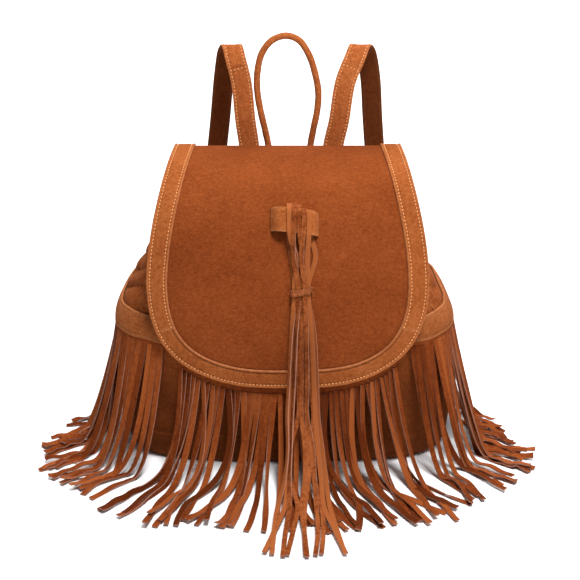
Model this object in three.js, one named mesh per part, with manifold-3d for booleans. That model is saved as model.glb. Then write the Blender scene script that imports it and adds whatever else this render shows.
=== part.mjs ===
// A fringed suede backpack, as an assembly of its cut and sewn pieces.
//
// Millimetres, +Z up. The origin is the middle of the base, where the bag stands.
// The front of the bag, with its flap, faces -Y, and +X is on the right of someone who looks at the front.
import * as THREE from 'three';
import { mergeVertices } from 'three/addons/utils/BufferGeometryUtils.js';
import Module from 'manifold-3d';

const wasm = await Module();
wasm.setup();

// ---------- driving dimensions ----------
const GAP = 0.3;                  // clearance kept between two pieces
const SUEDE = 2.4;                // a body panel, suede with its backing
const LINING = 1.0;
const BASE_HEIGHT = 1.5;          // the body panels start this far up the base panel's edge
const RIM_HEIGHT = 240;           // top of the gathered mouth
const BACK_HEIGHT = 262;          // top of the back panel
const SEAM_ANGLE = 28;            // degrees from the side of the bag to the seams of a side gusset
const FRONT_ROUNDNESS = 3.3;      // superellipse exponents of the body's plan, front and back
const BACK_ROUNDNESS = 5;
const BACK_TAPER = 0.05;          // the body is this share narrower at the back than at the front

// the body's plan at each height: height, half width, half depth, middle in depth
const BODY_PLANS = [
  [BASE_HEIGHT, 143, 64, 0],
  [12, 147, 68, 0],
  [60, 152, 72, 0],
  [116, 153, 74, 0],
  [136, 148, 73.5, 0],
  [150, 141, 72, 0],
  [175, 126, 66, 0],
  [205, 111, 57, 0],
  [222, 103, 47, 0.5],
  [RIM_HEIGHT, 101, 43, 2],
  [BACK_HEIGHT, 100, 43, 1],
];

const BAND_BOTTOM = 125;
const BAND_BEND = 136;            // the band bends in with the body here
const BAND_TOP = 145;
const BAND_THICK = 2;

const HINGE_Y = 44;               // the fold along which the flap turns
const HINGE_Z = 268;

const FLAP_SUEDE = 1.6;
const FLAP_LENGTH = 266;          // along the flap, from the hinge to its lower edge
const FLAP_TOP_HALF = 102;        // half widths at the hinge and at the widest
const FLAP_WIDE_HALF = 124.5;
const FLAP_WIDE_AT = 175;         // distance along the flap at which it is widest
const FLAP_FLARE = 1.7;           // how late the flap widens: 1 widens at once
const FLAP_ROUND_FROM = 158;      // distance along the flap at which its lower corners begin
const FLAP_CORNER_POWER = 2.8;
const FLAP_WRAP = 15;             // how far the flap's sides wrap back round the body
const BORDER_WIDTH = 18.5;
const BORDER_THICK = 1.2;
const BORDER_SEAM_AT = 215;       // distance along the flap of the seams between the borders

const STRIP_WIDTH = 4.8;          // one strip of a fringe
const STRIP_THICK = 1.2;
const HEADER_HEIGHT = 12;         // the uncut top of the flap's fringe
const SIDE_HEADER = 11;           // the uncut top of a side fringe
// how far the strips of a side fringe run out, and the ways they run in degrees, from the first to the last
const SIDE_REACH = [[0, 88], [0.25, 85], [0.5, 80], [1, 55]];
const SIDE_FAN = [[0, -43], [0.3, -35], [0.65, -35], [1, -46]];
const FLAP_REACH = 108;
const FLAP_SPREAD = 0.75;         // how far the strips at the flap's corners turn aside
const SIDE_STRIPS = 20;
const FLAP_STRIPS = 24;

const LACE_COUNT = 5;
const LACE_WIDTH = 3.3;
const LACE_THICK = 1.2;
const LACE_PITCH = 3.7;
const TAB_CENTRE_X = 6;
const TAB_LENGTH = 42;
const TAB_HEIGHT = 20;
const TAB_ARCH = 7;
const TAB_AT = 112;               // distance along the flap of the tab's middle line
const TASSEL_X = 12;              // where the laces hang, left to right
const TIE_AT = 172;               // distance along the flap of the tie's middle
const TIE_HEIGHT = 5;

const HANDLE_RADIUS = 3;
const STRAP_WIDTH = 18.5;
const STRAP_THICK = 2.4;
const WEBBING_WIDTH = 16;
const WEBBING_THICK = 1.6;

const EYELET_HEIGHT = 231;
const EYELET_ANGLES = [15, 42, 72, 102, 138];   // degrees round from the middle of the front, each side
const EYELET_HOLE = 3;
const CORD_RADIUS = 1.5;

const SNAP_RADIUS = 8;
const SNAP_HEIGHT = 106;
const STUD_AT = 248;              // distance along the flap of the snap's stud

// ---------- materials ----------
function finish(name, color, roughness, metalness = 0) {
  return new THREE.MeshStandardMaterial({ name, color, roughness, metalness });
}
const suede = finish('tan suede', 0x8f4724, 0.95);
const paleSuede = finish('border suede', 0x9e5530, 0.95);
const darkSuede = finish('shaded suede', 0x6b3418, 0.95);
const fringeSuede = finish('fringe suede', 0x7c4323, 0.95);
const liningCloth = finish('lining cloth', 0x5a4030, 0.9);
const board = finish('fibre board', 0x8a7a64, 0.9);
const cotton = finish('brown cotton cord', 0x6e4a30, 0.9);
const brass = finish('antique brass', 0x9a7a45, 0.35, 1);

// ---------- ways of making a closed mesh ----------
const rad = THREE.MathUtils.degToRad;
const lerp = THREE.MathUtils.lerp;
const UP = new THREE.Vector3(0, 0, 1);
const ACROSS = new THREE.Vector3(1, 0, 0);

// A value read from a list of [share, value] pairs, straight between them.
function between(pairs, share) {
  const i = Math.max(1, pairs.findIndex(([at]) => at >= share));
  const [[fromAt, from], [toAt, to]] = [pairs[i - 1], pairs[i]];
  return lerp(from, to, (share - fromAt) / (toAt - fromAt));
}

// Shares the corners of a geometry and drops the faces that have shrunk to a line.
function weld(geometry) {
  const bare = geometry.clone();
  bare.deleteAttribute('normal');
  bare.deleteAttribute('uv');
  const shared = mergeVertices(bare, 1e-5);
  const index = shared.getIndex().array;
  const kept = [];
  for (let i = 0; i < index.length; i += 3) {
    const [a, b, c] = [index[i], index[i + 1], index[i + 2]];
    if (a !== b && b !== c && c !== a) kept.push(a, b, c);
  }
  shared.setIndex(kept);
  return shared;
}

function volume(geometry) {
  const place = geometry.getAttribute('position');
  const index = geometry.getIndex().array;
  const [a, b, c] = [new THREE.Vector3(), new THREE.Vector3(), new THREE.Vector3()];
  let sum = 0;
  for (let i = 0; i < index.length; i += 3) {
    a.fromBufferAttribute(place, index[i]);
    b.fromBufferAttribute(place, index[i + 1]);
    c.fromBufferAttribute(place, index[i + 2]);
    sum += a.dot(b.cross(c)) / 6;
  }
  return sum;
}

// Turns the faces of a closed mesh outwards.
function facingOut(geometry) {
  if (volume(geometry) < 0) {
    const index = geometry.getIndex().array;
    for (let i = 0; i < index.length; i += 3) [index[i], index[i + 1]] = [index[i + 1], index[i]];
  }
  return geometry;
}

// Bends a three.js solid: place(point) gives the new place of each of its points.
function bend(geometry, place) {
  const welded = weld(geometry);
  const points = welded.getAttribute('position');
  const point = new THREE.Vector3();
  for (let i = 0; i < points.count; i += 1) {
    point.fromBufferAttribute(points, i);
    const moved = place(point);
    points.setXYZ(i, moved.x, moved.y, moved.z);
  }
  return facingOut(weld(welded));
}

// The unit normal of a surface given by two parameters.
function normalOf(surface, u, v, step = 0.02) {
  const du = surface(u + step, v).sub(surface(u - step, v));
  const dv = surface(u, v + step).sub(surface(u, v - step));
  return du.cross(dv).normalize();
}

// A sheet of even thickness on a surface. The box's x and y run along the surface's two parameters.
function sheet(uRange, vRows, uSteps, thick, surface, lift) {
  const box = new THREE.BoxGeometry(1, 1, 1, uSteps, vRows.length - 1, 1);
  return bend(box, (p) => {
    const row = Math.round((p.y + 0.5) * (vRows.length - 1));
    const u = lerp(uRange[0], uRange[1], p.x + 0.5);
    const v = vRows[row];
    return surface(u, v).addScaledVector(normalOf(surface, u, v), lift + p.z * thick);
  });
}

// A flat strip along a curve, with its width as near to the given direction as the curve allows.
function strip(curve, steps, width, thick, sideways = ACROSS) {
  const box = new THREE.BoxGeometry(1, 1, 1, 1, steps, 1);
  return bend(box, (p) => {
    const along = p.y + 0.5;
    const tangent = curve.getTangent(along);
    const across = sideways.clone().addScaledVector(tangent, -sideways.dot(tangent)).normalize();
    const face = new THREE.Vector3().crossVectors(across, tangent);
    return curve.getPoint(along).addScaledVector(across, p.x * width).addScaledVector(face, p.z * thick);
  });
}

function smooth(points) {
  return new THREE.CatmullRomCurve3(points.map((p) => new THREE.Vector3(...p)), false, 'centripetal');
}

function toSolid(geometry) {
  const vertProperties = new Float32Array(geometry.getAttribute('position').array);
  const triVerts = new Uint32Array(geometry.getIndex().array);
  return new wasm.Manifold(new wasm.Mesh({ numProp: 3, vertProperties, triVerts }));
}

function fromSolid(solid) {
  const mesh = solid.getMesh();
  const geometry = new THREE.BufferGeometry();
  geometry.setAttribute('position', new THREE.BufferAttribute(mesh.vertProperties, 3));
  geometry.setIndex(new THREE.BufferAttribute(mesh.triVerts, 1));
  return geometry;
}

function joined(geometries) {
  return fromSolid(geometries.map(toSolid).reduce((whole, next) => whole.add(next)));
}

function cut(geometry, cutters) {
  return fromSolid(cutters.map(toSolid).reduce((rest, cutter) => rest.subtract(cutter), toSolid(geometry)));
}

const bag = new THREE.Group();
const flap = new THREE.Group();
flap.position.set(0, HINGE_Y, HINGE_Z);
bag.add(flap);

function add(name, geometry, material) {
  const mesh = new THREE.Mesh(geometry, material);
  mesh.name = name;
  bag.add(mesh);
}

// A piece of the flap is made in the bag's frame and hung in the flap's group, which turns about the hinge.
function addToFlap(name, geometry, material) {
  const mesh = new THREE.Mesh(geometry.translate(0, -HINGE_Y, -HINGE_Z), material);
  mesh.name = name;
  flap.add(mesh);
}

// ---------- the body ----------
// The plan at any height, straight between the stated plans.
function planAt(height) {
  const last = BODY_PLANS.length - 2;
  const above = BODY_PLANS.findIndex((plan) => plan[0] > height);
  const i = above < 0 ? last : THREE.MathUtils.clamp(above - 1, 0, last);
  const [low, high] = [BODY_PLANS[i], BODY_PLANS[i + 1]];
  const share = (height - low[0]) / (high[0] - low[0]);
  return [1, 2, 3].map((k) => lerp(low[k], high[k], share));
}

// How much narrower the body is at a depth, which runs from -1 at the front to 1 at the back.
function narrowing(deep) {
  return 1 - BACK_TAPER * THREE.MathUtils.smoothstep(deep, -0.4, 1);
}

// A point of the body's surface. The angle is in degrees: 0 is the right side and -90 the front.
function bodySurface(angle, height) {
  const [halfWidth, halfDepth, middle] = planAt(height);
  const [c, s] = [Math.cos(rad(angle)), Math.sin(rad(angle))];
  const power = 2 / (s > 0 ? BACK_ROUNDNESS : FRONT_ROUNDNESS);
  const deep = Math.sign(s) * Math.abs(s) ** power;
  const x = halfWidth * narrowing(deep) * Math.sign(c) * Math.abs(c) ** power;
  return new THREE.Vector3(x, middle + halfDepth * deep, height);
}

// A point on the back of the body, given by its place across the bag.
function backSurface(x, height) {
  const [halfWidth, halfDepth, middle] = planAt(height);
  let bulge = 1;
  for (let round = 0; round < 12; round += 1) {
    const share = Math.abs(x) / (halfWidth * narrowing(bulge));
    bulge = (1 - share ** BACK_ROUNDNESS) ** (1 / BACK_ROUNDNESS);
  }
  return new THREE.Vector3(x, middle + halfDepth * bulge, height);
}

const rowsTo = (top) => BODY_PLANS.map((plan) => plan[0]).filter((height) => height <= top);

// Eyelet places: each has the middle of its hole on the body's surface and the way out of the bag.
const EYELETS = [...EYELET_ANGLES].reverse().map((a) => -90 - a).concat(EYELET_ANGLES.map((a) => -90 + a))
  .map((angle) => ({
    angle,
    middle: bodySurface(angle, EYELET_HEIGHT),
    out: normalOf(bodySurface, angle, EYELET_HEIGHT),
  }));

function eyeletCutter(eyelet) {
  const cylinder = weld(new THREE.CylinderGeometry(EYELET_HOLE + 1.2, EYELET_HOLE + 1.3, 16, 8));
  const turn = new THREE.Quaternion().setFromUnitVectors(new THREE.Vector3(0, 1, 0), eyelet.out);
  return cylinder.applyQuaternion(turn).translate(...eyelet.middle);
}
const eyeletCutters = EYELETS.map(eyeletCutter);

// The four panels stop short of each other by the gap at each seam.
const SEAM_GAP = 0.12;            // degrees of half the gap at a seam
function bodyPanel(name, from, to, top, steps, material) {
  const whole = sheet([from + SEAM_GAP, to - SEAM_GAP], rowsTo(top), steps, SUEDE, bodySurface, 0);
  add(name, cut(whole, eyeletCutters), material);
}
bodyPanel('front_panel', -180 + SEAM_ANGLE, -SEAM_ANGLE, RIM_HEIGHT, 16, suede);
bodyPanel('side_gusset_right', -SEAM_ANGLE, SEAM_ANGLE, RIM_HEIGHT, 8, darkSuede);
bodyPanel('side_gusset_left', -180 - SEAM_ANGLE, -180 + SEAM_ANGLE, RIM_HEIGHT, 8, darkSuede);
bodyPanel('back_panel', SEAM_ANGLE, 180 - SEAM_ANGLE, BACK_HEIGHT, 14, darkSuede);

// A flat plate with the body's plan at the base, drawn in by the inset.
function basePlate(bottom, thick, inset) {
  const plan = BODY_PLANS[0];
  const disc = new THREE.CylinderGeometry(1, 1, thick, 40);
  return bend(disc, (p) => {
    const rim = bodySurface(THREE.MathUtils.radToDeg(Math.atan2(p.z, p.x)), plan[0]);
    const size = Math.hypot(p.x, p.z) < 0.5 ? 0 : 1;
    const x = size * rim.x * (1 - inset / plan[1]);
    const y = size * rim.y * (1 - inset / plan[2]);
    return new THREE.Vector3(x, y, bottom + thick / 2 + p.y);
  });
}
const BASE_INSET = SUEDE / 2 + GAP + 0.2;
const BASE_THICK = 2.4;
const BOARD_THICK = 2.5;
add('base_panel', basePlate(0, BASE_THICK, BASE_INSET), darkSuede);
add('base_board', basePlate(BASE_THICK + GAP, BOARD_THICK, BASE_INSET + 0.4), board);

// The lining is an inner bag, open at the mouth: a lathe profile of a cup whose plan follows the body's.
const LINING_FLOOR = BASE_THICK + BOARD_THICK + 2 * GAP;
const LINING_TOP = RIM_HEIGHT - 3;
const LINING_CLEAR = 1.2;         // the lining hangs loose inside the panels
function liningBag() {
  const heights = [LINING_FLOOR, 12, 60, 116, 150, 175, 205, 222, LINING_TOP];
  const outside = heights.map((height) => new THREE.Vector2(2, height));
  const inside = heights.map((height) => new THREE.Vector2(1, Math.max(height, LINING_FLOOR + LINING)));
  const profile = [new THREE.Vector2(0, LINING_FLOOR), ...outside, ...inside.reverse()];
  profile.push(new THREE.Vector2(0, LINING_FLOOR + LINING));
  return bend(new THREE.LatheGeometry(profile, 32), (p) => {
    const size = Math.round(Math.hypot(p.x, p.z));
    if (size === 0) return new THREE.Vector3(0, 0, p.y);
    const angle = THREE.MathUtils.radToDeg(Math.atan2(p.z, p.x));
    const inset = SUEDE / 2 + LINING_CLEAR + (size === 1 ? LINING : 0);
    const place = bodySurface(angle, p.y).addScaledVector(normalOf(bodySurface, angle, p.y), -inset);
    return place.setZ(p.y);
  });
}
add('lining', cut(liningBag(), eyeletCutters), liningCloth);

// The band goes round the front and both sides, from one back seam to the other.
const BAND_LIFT = SUEDE / 2 + 2.6 * GAP + BAND_THICK / 2;
const bandEnds = [-180 - SEAM_ANGLE, SEAM_ANGLE];
const bandRows = [BAND_BOTTOM, BAND_BEND, BAND_TOP];
const band = sheet(bandEnds, bandRows, 36, BAND_THICK, bodySurface, BAND_LIFT);
add('waist_band', band, paleSuede);

// ---------- fringes ----------
// One strip falls from its top, swings outwards and runs out along the ground.
const GROUND = STRIP_THICK / 2 + 0.15;
function fallingStrip(top, outwards, reach) {
  const at = (share, height) => top.clone().addScaledVector(outwards, reach * share).setZ(height);
  const fall = new THREE.QuadraticBezierCurve3(at(0, top.z), at(0.2, GROUND), at(0.52, GROUND));
  const run = new THREE.LineCurve3(at(0.52, GROUND), at(1, GROUND));
  const path = new THREE.CurvePath();
  path.add(fall);
  path.add(run);
  const sideways = new THREE.Vector3().crossVectors(UP, outwards);
  return strip(path, 4, STRIP_WIDTH, STRIP_THICK, sideways);
}

// A side fringe hangs under the band, from the front of the bag round to the back seam.
const FRINGE_FRONT_ANGLE = -55;
const STRIP_OUT = 0.85;           // the strips stand this far out from the header
function sideFringe(side) {
  const angleAt = (share) => {
    const angle = lerp(FRINGE_FRONT_ANGLE, SEAM_ANGLE - 1, share);
    return side > 0 ? angle : -180 - angle;
  };
  const header = (share, height) => bodySurface(angleAt(share), height);
  const rows = [BAND_BOTTOM - SIDE_HEADER, BAND_BOTTOM - SIDE_HEADER / 2, BAND_BOTTOM - GAP];
  const lift = side * BAND_LIFT;
  const pieces = [sheet([0.001, 0.999], rows, 18, STRIP_THICK, header, lift)];
  const stripTop = BAND_BOTTOM - SIDE_HEADER + 3;
  // even spacing along the band's edge
  const edge = new THREE.CatmullRomCurve3(
    Array.from({ length: 41 }, (_, i) => bodySurface(angleAt(i / 40), stripTop)),
  );
  for (let i = 0; i < SIDE_STRIPS; i += 1) {
    const share = (i + 0.5) / SIDE_STRIPS;
    const tangent = edge.getTangentAt(share);
    const normal = new THREE.Vector3().crossVectors(tangent, UP).multiplyScalar(side).setZ(0).normalize();
    const top = edge.getPointAt(share).addScaledVector(normal, BAND_LIFT + STRIP_OUT);
    const fan = rad(between(SIDE_FAN, share));
    const out = new THREE.Vector3(side * Math.cos(fan), Math.sin(fan), 0);
    pieces.push(fallingStrip(top, out, between(SIDE_REACH, share)));
  }
  return joined(pieces);
}
add('side_fringe_left', sideFringe(-1), fringeSuede);
add('side_fringe_right', sideFringe(1), fringeSuede);

// ---------- the flap ----------
// Its middle line, from the hinge over the mouth and down the front: depth and height.
const flapLine = new THREE.SplineCurve([
  [HINGE_Y, HINGE_Z], [24, 272], [0, 271.5], [-24, 264], [-45, 249], [-61, 228],
  [-73, 200], [-81, 165], [-84.5, 130], [-84.5, 108], [-83, 88],
].map((p) => new THREE.Vector2(...p)));

function flapHalfWidth(along) {
  const turn = (Math.PI / 2) * THREE.MathUtils.clamp(along / FLAP_WIDE_AT, 0, 1);
  const side = lerp(FLAP_TOP_HALF, FLAP_WIDE_HALF, Math.sin(turn) ** FLAP_FLARE);
  const corner = Math.max(0, (along - FLAP_ROUND_FROM) / (FLAP_LENGTH - FLAP_ROUND_FROM));
  return side * Math.max(0, 1 - corner ** FLAP_CORNER_POWER) ** (1 / FLAP_CORNER_POWER);
}

// A point of the flap, by its place across and along. The sides wrap back round the body.
function flapSurface(x, along) {
  const share = THREE.MathUtils.clamp(along / FLAP_LENGTH, 0, 1);
  const middle = flapLine.getPointAt(share);
  const tangent = flapLine.getTangentAt(share);
  middle.addScaledVector(tangent, along - share * FLAP_LENGTH);
  const wrap = FLAP_WRAP * THREE.MathUtils.smoothstep(along, 0, 150) * Math.abs(x / FLAP_WIDE_HALF) ** 2.5;
  return new THREE.Vector3(x, middle.x - wrap * tangent.y, middle.y + wrap * tangent.x);
}

// The same surface with its first direction turned round, so that its normal points out of the bag.
const flapOutside = (minusX, along) => flapSurface(-minusX, along);

// A point above the flap, by its place across, along and out from it.
function aboveFlap(x, along, lift) {
  return flapOutside(-x, along).addScaledVector(normalOf(flapOutside, -x, along), lift);
}

const FLAP_ROWS = [0, 16, 32, 48, 64, 80, 100, 124, 150, 178, 202, 222, 238, 250, 259, 265.4];
function flapSheet(thick, lift) {
  const surface = (u, v) => flapOutside(u * flapHalfWidth(v), v);
  return sheet([-1, 1], FLAP_ROWS, 8, thick, surface, lift);
}
const FLAP_LINING_LIFT = -(FLAP_SUEDE / 2 + 0.9 + LINING / 2);
addToFlap('flap_panel', flapSheet(FLAP_SUEDE, 0), suede);
addToFlap('flap_lining', flapSheet(LINING, FLAP_LINING_LIFT), liningCloth);

// The flap's outline, from the hinge down the left side, round the bottom and up the right side.
function flapOutline() {
  const left = [];
  for (let along = 0; along < FLAP_ROUND_FROM; along += 16) {
    left.push(new THREE.Vector2(-flapHalfWidth(along), along));
  }
  for (let i = 0; i < 12; i += 1) {
    const turn = (i / 12) * (Math.PI / 2);
    const along = lerp(FLAP_ROUND_FROM, FLAP_LENGTH, Math.sin(turn) ** (2 / FLAP_CORNER_POWER));
    left.push(new THREE.Vector2(-flapHalfWidth(along), along));
  }
  const right = left.map((p) => new THREE.Vector2(-p.x, p.y)).reverse();
  const outline = new THREE.SplineCurve([...left, new THREE.Vector2(0, FLAP_LENGTH), ...right]);
  outline.arcLengthDivisions = 600;
  return outline;
}
const outline = flapOutline();
const outlineLength = outline.getLength();

// A place on the flap, given by the distance round its outline and the distance in from the edge.
function insideEdge(around, inwards) {
  const share = THREE.MathUtils.clamp(around / outlineLength, 0, 1);
  const edge = outline.getPointAt(share);
  const tangent = outline.getTangentAt(share);
  return edge.addScaledVector(new THREE.Vector2(tangent.y, -tangent.x), inwards);
}

// The distance round the outline at which it first reaches a distance along the flap.
function aroundAt(along) {
  let around = 0;
  while (insideEdge(around, 0).y < along) around += 0.5;
  return around;
}

const BORDER_LIFT = FLAP_SUEDE / 2 + GAP + BORDER_THICK / 2;
function border(from, to, steps) {
  const surface = (around, inwards) => {
    const place = insideEdge(around, inwards);
    return flapSurface(place.x, place.y);
  };
  return sheet([from, to], [0, BORDER_WIDTH / 2, BORDER_WIDTH], steps, BORDER_THICK, surface, BORDER_LIFT);
}
const BORDER_TOP = 0.5;           // the side borders begin this far down from the hinge
const seamLeft = aroundAt(BORDER_SEAM_AT);
const seamRight = outlineLength - seamLeft;
addToFlap('flap_border_left', border(BORDER_TOP, seamLeft - GAP / 2, 14), paleSuede);
addToFlap('flap_border_bottom', border(seamLeft + GAP / 2, seamRight - GAP / 2, 30), paleSuede);
addToFlap('flap_border_right', border(seamRight + GAP / 2, outlineLength - BORDER_TOP, 14), paleSuede);

// The flap's fringe hangs from its lower edge, between the two lower corners.
const FLAP_FRINGE_HALF = 98;
const FLAP_HEADER_GAP = 1.2;
function flapFringe() {
  let from = 0;
  while (insideEdge(from, 0).y < FLAP_ROUND_FROM || insideEdge(from, 0).x < -FLAP_FRINGE_HALF) from += 0.5;
  const to = outlineLength - from;
  const header = (around, drop) => {
    const edge = insideEdge(around, 0);
    return flapSurface(edge.x, edge.y).addScaledVector(UP, drop);
  };
  const pieces = [sheet([from, to], [-HEADER_HEIGHT, -FLAP_HEADER_GAP], 16, STRIP_THICK, header, 0)];
  for (let i = 0; i < FLAP_STRIPS; i += 1) {
    const around = lerp(from, to, (i + 0.5) / FLAP_STRIPS);
    const top = header(around, 1 - HEADER_HEIGHT);
    const out = new THREE.Vector3((FLAP_SPREAD * top.x) / FLAP_FRINGE_HALF, -1, 0).normalize();
    pieces.push(fallingStrip(top, out, FLAP_REACH));
  }
  return joined(pieces);
}
addToFlap('flap_fringe', flapFringe(), fringeSuede);

// ---------- the tassel ----------
// The tab is a short strap sewn down at both ends, arched so that the laces pass behind it.
const TAB_THICK = 1.6;
const TAB_LIFT = FLAP_SUEDE / 2 + GAP + TAB_THICK / 2;
const tabArch = (x) => TAB_ARCH * (1 - ((2 * (x - TAB_CENTRE_X)) / TAB_LENGTH) ** 4);
const tabSurface = (minusX, along) => aboveFlap(-minusX, along, tabArch(-minusX));
const tabEnds = [-TAB_CENTRE_X - TAB_LENGTH / 2, -TAB_CENTRE_X + TAB_LENGTH / 2];
const tabRows = [TAB_AT - TAB_HEIGHT / 2, TAB_AT, TAB_AT + TAB_HEIGHT / 2];
addToFlap('tassel_tab', sheet(tabEnds, tabRows, 14, TAB_THICK, tabSurface, TAB_LIFT), suede);

// Each lace lies doubled over the tab. Its back half passes behind the tab, its front half before it, the tie
// gathers both, and below the flap they fan out and run out along the ground.
const BACK_LIFT = 2.8;
const FRONT_LIFT = BACK_LIFT + LACE_THICK + GAP;
function laceHalf(lane, front) {
  const x = TASSEL_X + lane * LACE_PITCH;
  const fan = 2 * lane + (front ? 0 : 1);
  const step = front ? 1.9 : 0;
  const onTab = x - 2;
  const nearTab = front ? TAB_LIFT + tabArch(onTab) + TAB_THICK / 2 + 1.7 : 2.2;
  const lift = front ? FRONT_LIFT : BACK_LIFT;
  const below = (spread, depth, height) => new THREE.Vector3(TASSEL_X + fan * spread, depth - step, height);
  return [
    aboveFlap(onTab, TAB_AT - 10, nearTab),
    aboveFlap(onTab, TAB_AT, nearTab),
    aboveFlap(onTab + 0.5, TAB_AT + 13, front ? nearTab - 0.4 : 2.4),
    aboveFlap(x - 0.8, TIE_AT - 26, lift + (front ? 0.9 : 0)),
    aboveFlap(x, TIE_AT - 7, lift),
    aboveFlap(x, TIE_AT + 7, lift),
    aboveFlap(TASSEL_X + fan * 2.4, TIE_AT + 38, lift + 1.4),
    aboveFlap(TASSEL_X + fan * 2.9, FLAP_LENGTH - 4, lift + 2.4),
    below(3.3, -95, 66),
    below(3.7, -110, 42),
    below(4.4, -130, 22),
    below(5.4, -155, 9),
    below(7.2, -192, 4.4),
    below(9, -236 + 1.5 * Math.abs(fan), 3.4),
  ];
}
for (let i = 0; i < LACE_COUNT; i += 1) {
  const lane = i - (LACE_COUNT - 1) / 2;
  const [back, front] = [laceHalf(lane, false), laceHalf(lane, true)];
  const over = aboveFlap(back[0].x, TAB_AT - 14.5, 6);
  const path = new THREE.CatmullRomCurve3([...back.reverse(), over, ...front], false, 'centripetal');
  path.arcLengthDivisions = 400;
  addToFlap(`tassel_lace_${i + 1}`, strip(path, 36, LACE_WIDTH, LACE_THICK), fringeSuede);
}

// The tie is a narrow strap round all ten strands.
const TIE_THICK = 0.8;
const TIE_HALF = 2 * LACE_PITCH + LACE_WIDTH / 2 + GAP + 0.2;
function tie() {
  const low = BACK_LIFT - LACE_THICK / 2 - GAP;
  const high = FRONT_LIFT + LACE_THICK / 2 + GAP;
  const rectangle = (grow) => [
    [-TIE_HALF - grow, low - grow], [TIE_HALF + grow, low - grow],
    [TIE_HALF + grow, high + grow], [-TIE_HALF - grow, high + grow],
  ].map((p) => new THREE.Vector2(...p));
  const ring = new THREE.Shape(rectangle(TIE_THICK));
  ring.holes.push(new THREE.Path(rectangle(0).reverse()));
  const solid = new THREE.ExtrudeGeometry(ring, { depth: TIE_HEIGHT, bevelEnabled: false });
  return bend(solid, (p) => aboveFlap(TASSEL_X + p.x, TIE_AT - TIE_HEIGHT / 2 + p.z, p.y));
}
addToFlap('tassel_tie', tie(), fringeSuede);

// ---------- the magnetic snap ----------
function disc(radius, thick, y, x = 0, z = SNAP_HEIGHT) {
  const cylinder = weld(new THREE.CylinderGeometry(radius, radius, thick, 24));
  return cylinder.translate(x, y, z);
}
const SOCKET_THICK = 2.8;
const socketBack = bodySurface(-90, SNAP_HEIGHT).y - SUEDE / 2 - GAP;
add('snap_socket', disc(SNAP_RADIUS, SOCKET_THICK, socketBack - SOCKET_THICK / 2), brass);
const studFront = aboveFlap(0, STUD_AT, FLAP_LINING_LIFT - LINING / 2).y + 2 * GAP;
const studBack = socketBack - SOCKET_THICK - GAP;
addToFlap('snap_stud', disc(SNAP_RADIUS, studBack - studFront, (studBack + studFront) / 2), brass);

// ---------- the drawstring ----------
// An eyelet is a flanged barrel through the panel and the lining: a lathe ring turned to face out of the bag.
const BARREL_IN = SUEDE / 2 + LINING_CLEAR + LINING + 0.9;
const BARREL_OUT = SUEDE / 2 + 0.7;
const FLANGE = 0.8;
const FLANGE_RADIUS = EYELET_HOLE + 2.4;
const BARREL_RADIUS = EYELET_HOLE + 0.8;
for (const [i, eyelet] of EYELETS.entries()) {
  const profile = [
    [EYELET_HOLE, -BARREL_IN - FLANGE], [FLANGE_RADIUS, -BARREL_IN - FLANGE], [FLANGE_RADIUS, -BARREL_IN],
    [BARREL_RADIUS, -BARREL_IN], [BARREL_RADIUS, BARREL_OUT], [FLANGE_RADIUS, BARREL_OUT],
    [FLANGE_RADIUS, BARREL_OUT + FLANGE], [EYELET_HOLE, BARREL_OUT + FLANGE],
    [EYELET_HOLE, -BARREL_IN - FLANGE],
  ].map((p) => new THREE.Vector2(...p));
  const ring = bend(new THREE.LatheGeometry(profile, 8), (p) => p.clone());
  const turn = new THREE.Quaternion().setFromUnitVectors(new THREE.Vector3(0, 1, 0), eyelet.out);
  const mesh = new THREE.Mesh(ring, brass);
  mesh.quaternion.copy(turn);
  mesh.position.copy(eyelet.middle);
  mesh.name = `eyelet_${i + 1}`;
  bag.add(mesh);
}

// A round cord along a curve. Its section is flattened by flat(share), which gives two radii.
function roundCord(curve, steps, sides, sideways, radii) {
  const cylinder = new THREE.CylinderGeometry(1, 1, 1, sides, steps);
  return bend(cylinder, (p) => {
    const share = THREE.MathUtils.clamp(p.y + 0.5, 0, 1);
    const tangent = curve.getTangent(share);
    const across = sideways.clone().addScaledVector(tangent, -sideways.dot(tangent)).normalize();
    const face = new THREE.Vector3().crossVectors(across, tangent);
    const [wide, deep] = radii(share);
    return curve.getPoint(share).addScaledVector(across, p.x * wide).addScaledVector(face, p.z * deep);
  });
}

// The cord runs in and out through the eyelets, and its two tails hang in front, under the flap.
function drawstring() {
  const inside = -(SUEDE / 2 + LINING_CLEAR + LINING + 4.6);
  const outside = SUEDE / 2 + 4.4;
  const out = (angle, lift) => bodySurface(angle, EYELET_HEIGHT)
    .addScaledVector(normalOf(bodySurface, angle, EYELET_HEIGHT), lift);
  // starting at the front on the right, round the back and to the front on the left
  const ordered = EYELET_ANGLES.map((a) => -90 + a).concat([...EYELET_ANGLES].reverse().map((a) => 270 - a));
  const tail = (x) => [[x * 0.6, -70, 178], [x * 0.75, -66, 196], [x * 0.9, -58, 218]];
  const first = out(ordered[0], outside);
  const points = tail(first.x).map((p) => new THREE.Vector3(...p));
  ordered.forEach((angle, i) => {
    const [enter, leave] = i % 2 === 0 ? [outside, inside] : [inside, outside];
    points.push(out(angle, enter), out(angle, leave));
    if (i < ordered.length - 1) {
      const middle = (angle + ordered[i + 1]) / 2;
      points.push(out(middle, leave));
    }
  });
  points.push(...tail(-first.x).reverse().map((p) => new THREE.Vector3(...p)));
  const path = new THREE.CatmullRomCurve3(points, false, 'centripetal');
  path.arcLengthDivisions = 600;
  return roundCord(path, 66, 8, UP, () => [CORD_RADIUS, CORD_RADIUS]);
}
add('drawstring', drawstring(), cotton);

// ---------- the handle and the shoulder straps ----------
const BEHIND = SUEDE / 2 + GAP + STRAP_THICK / 2;    // a strap's middle, out from the back panel's middle
const SEWN_LOW = 228;
const onBack = (x, height) => backSurface(x, height).add(new THREE.Vector3(0, BEHIND, 0)).toArray();

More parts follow.
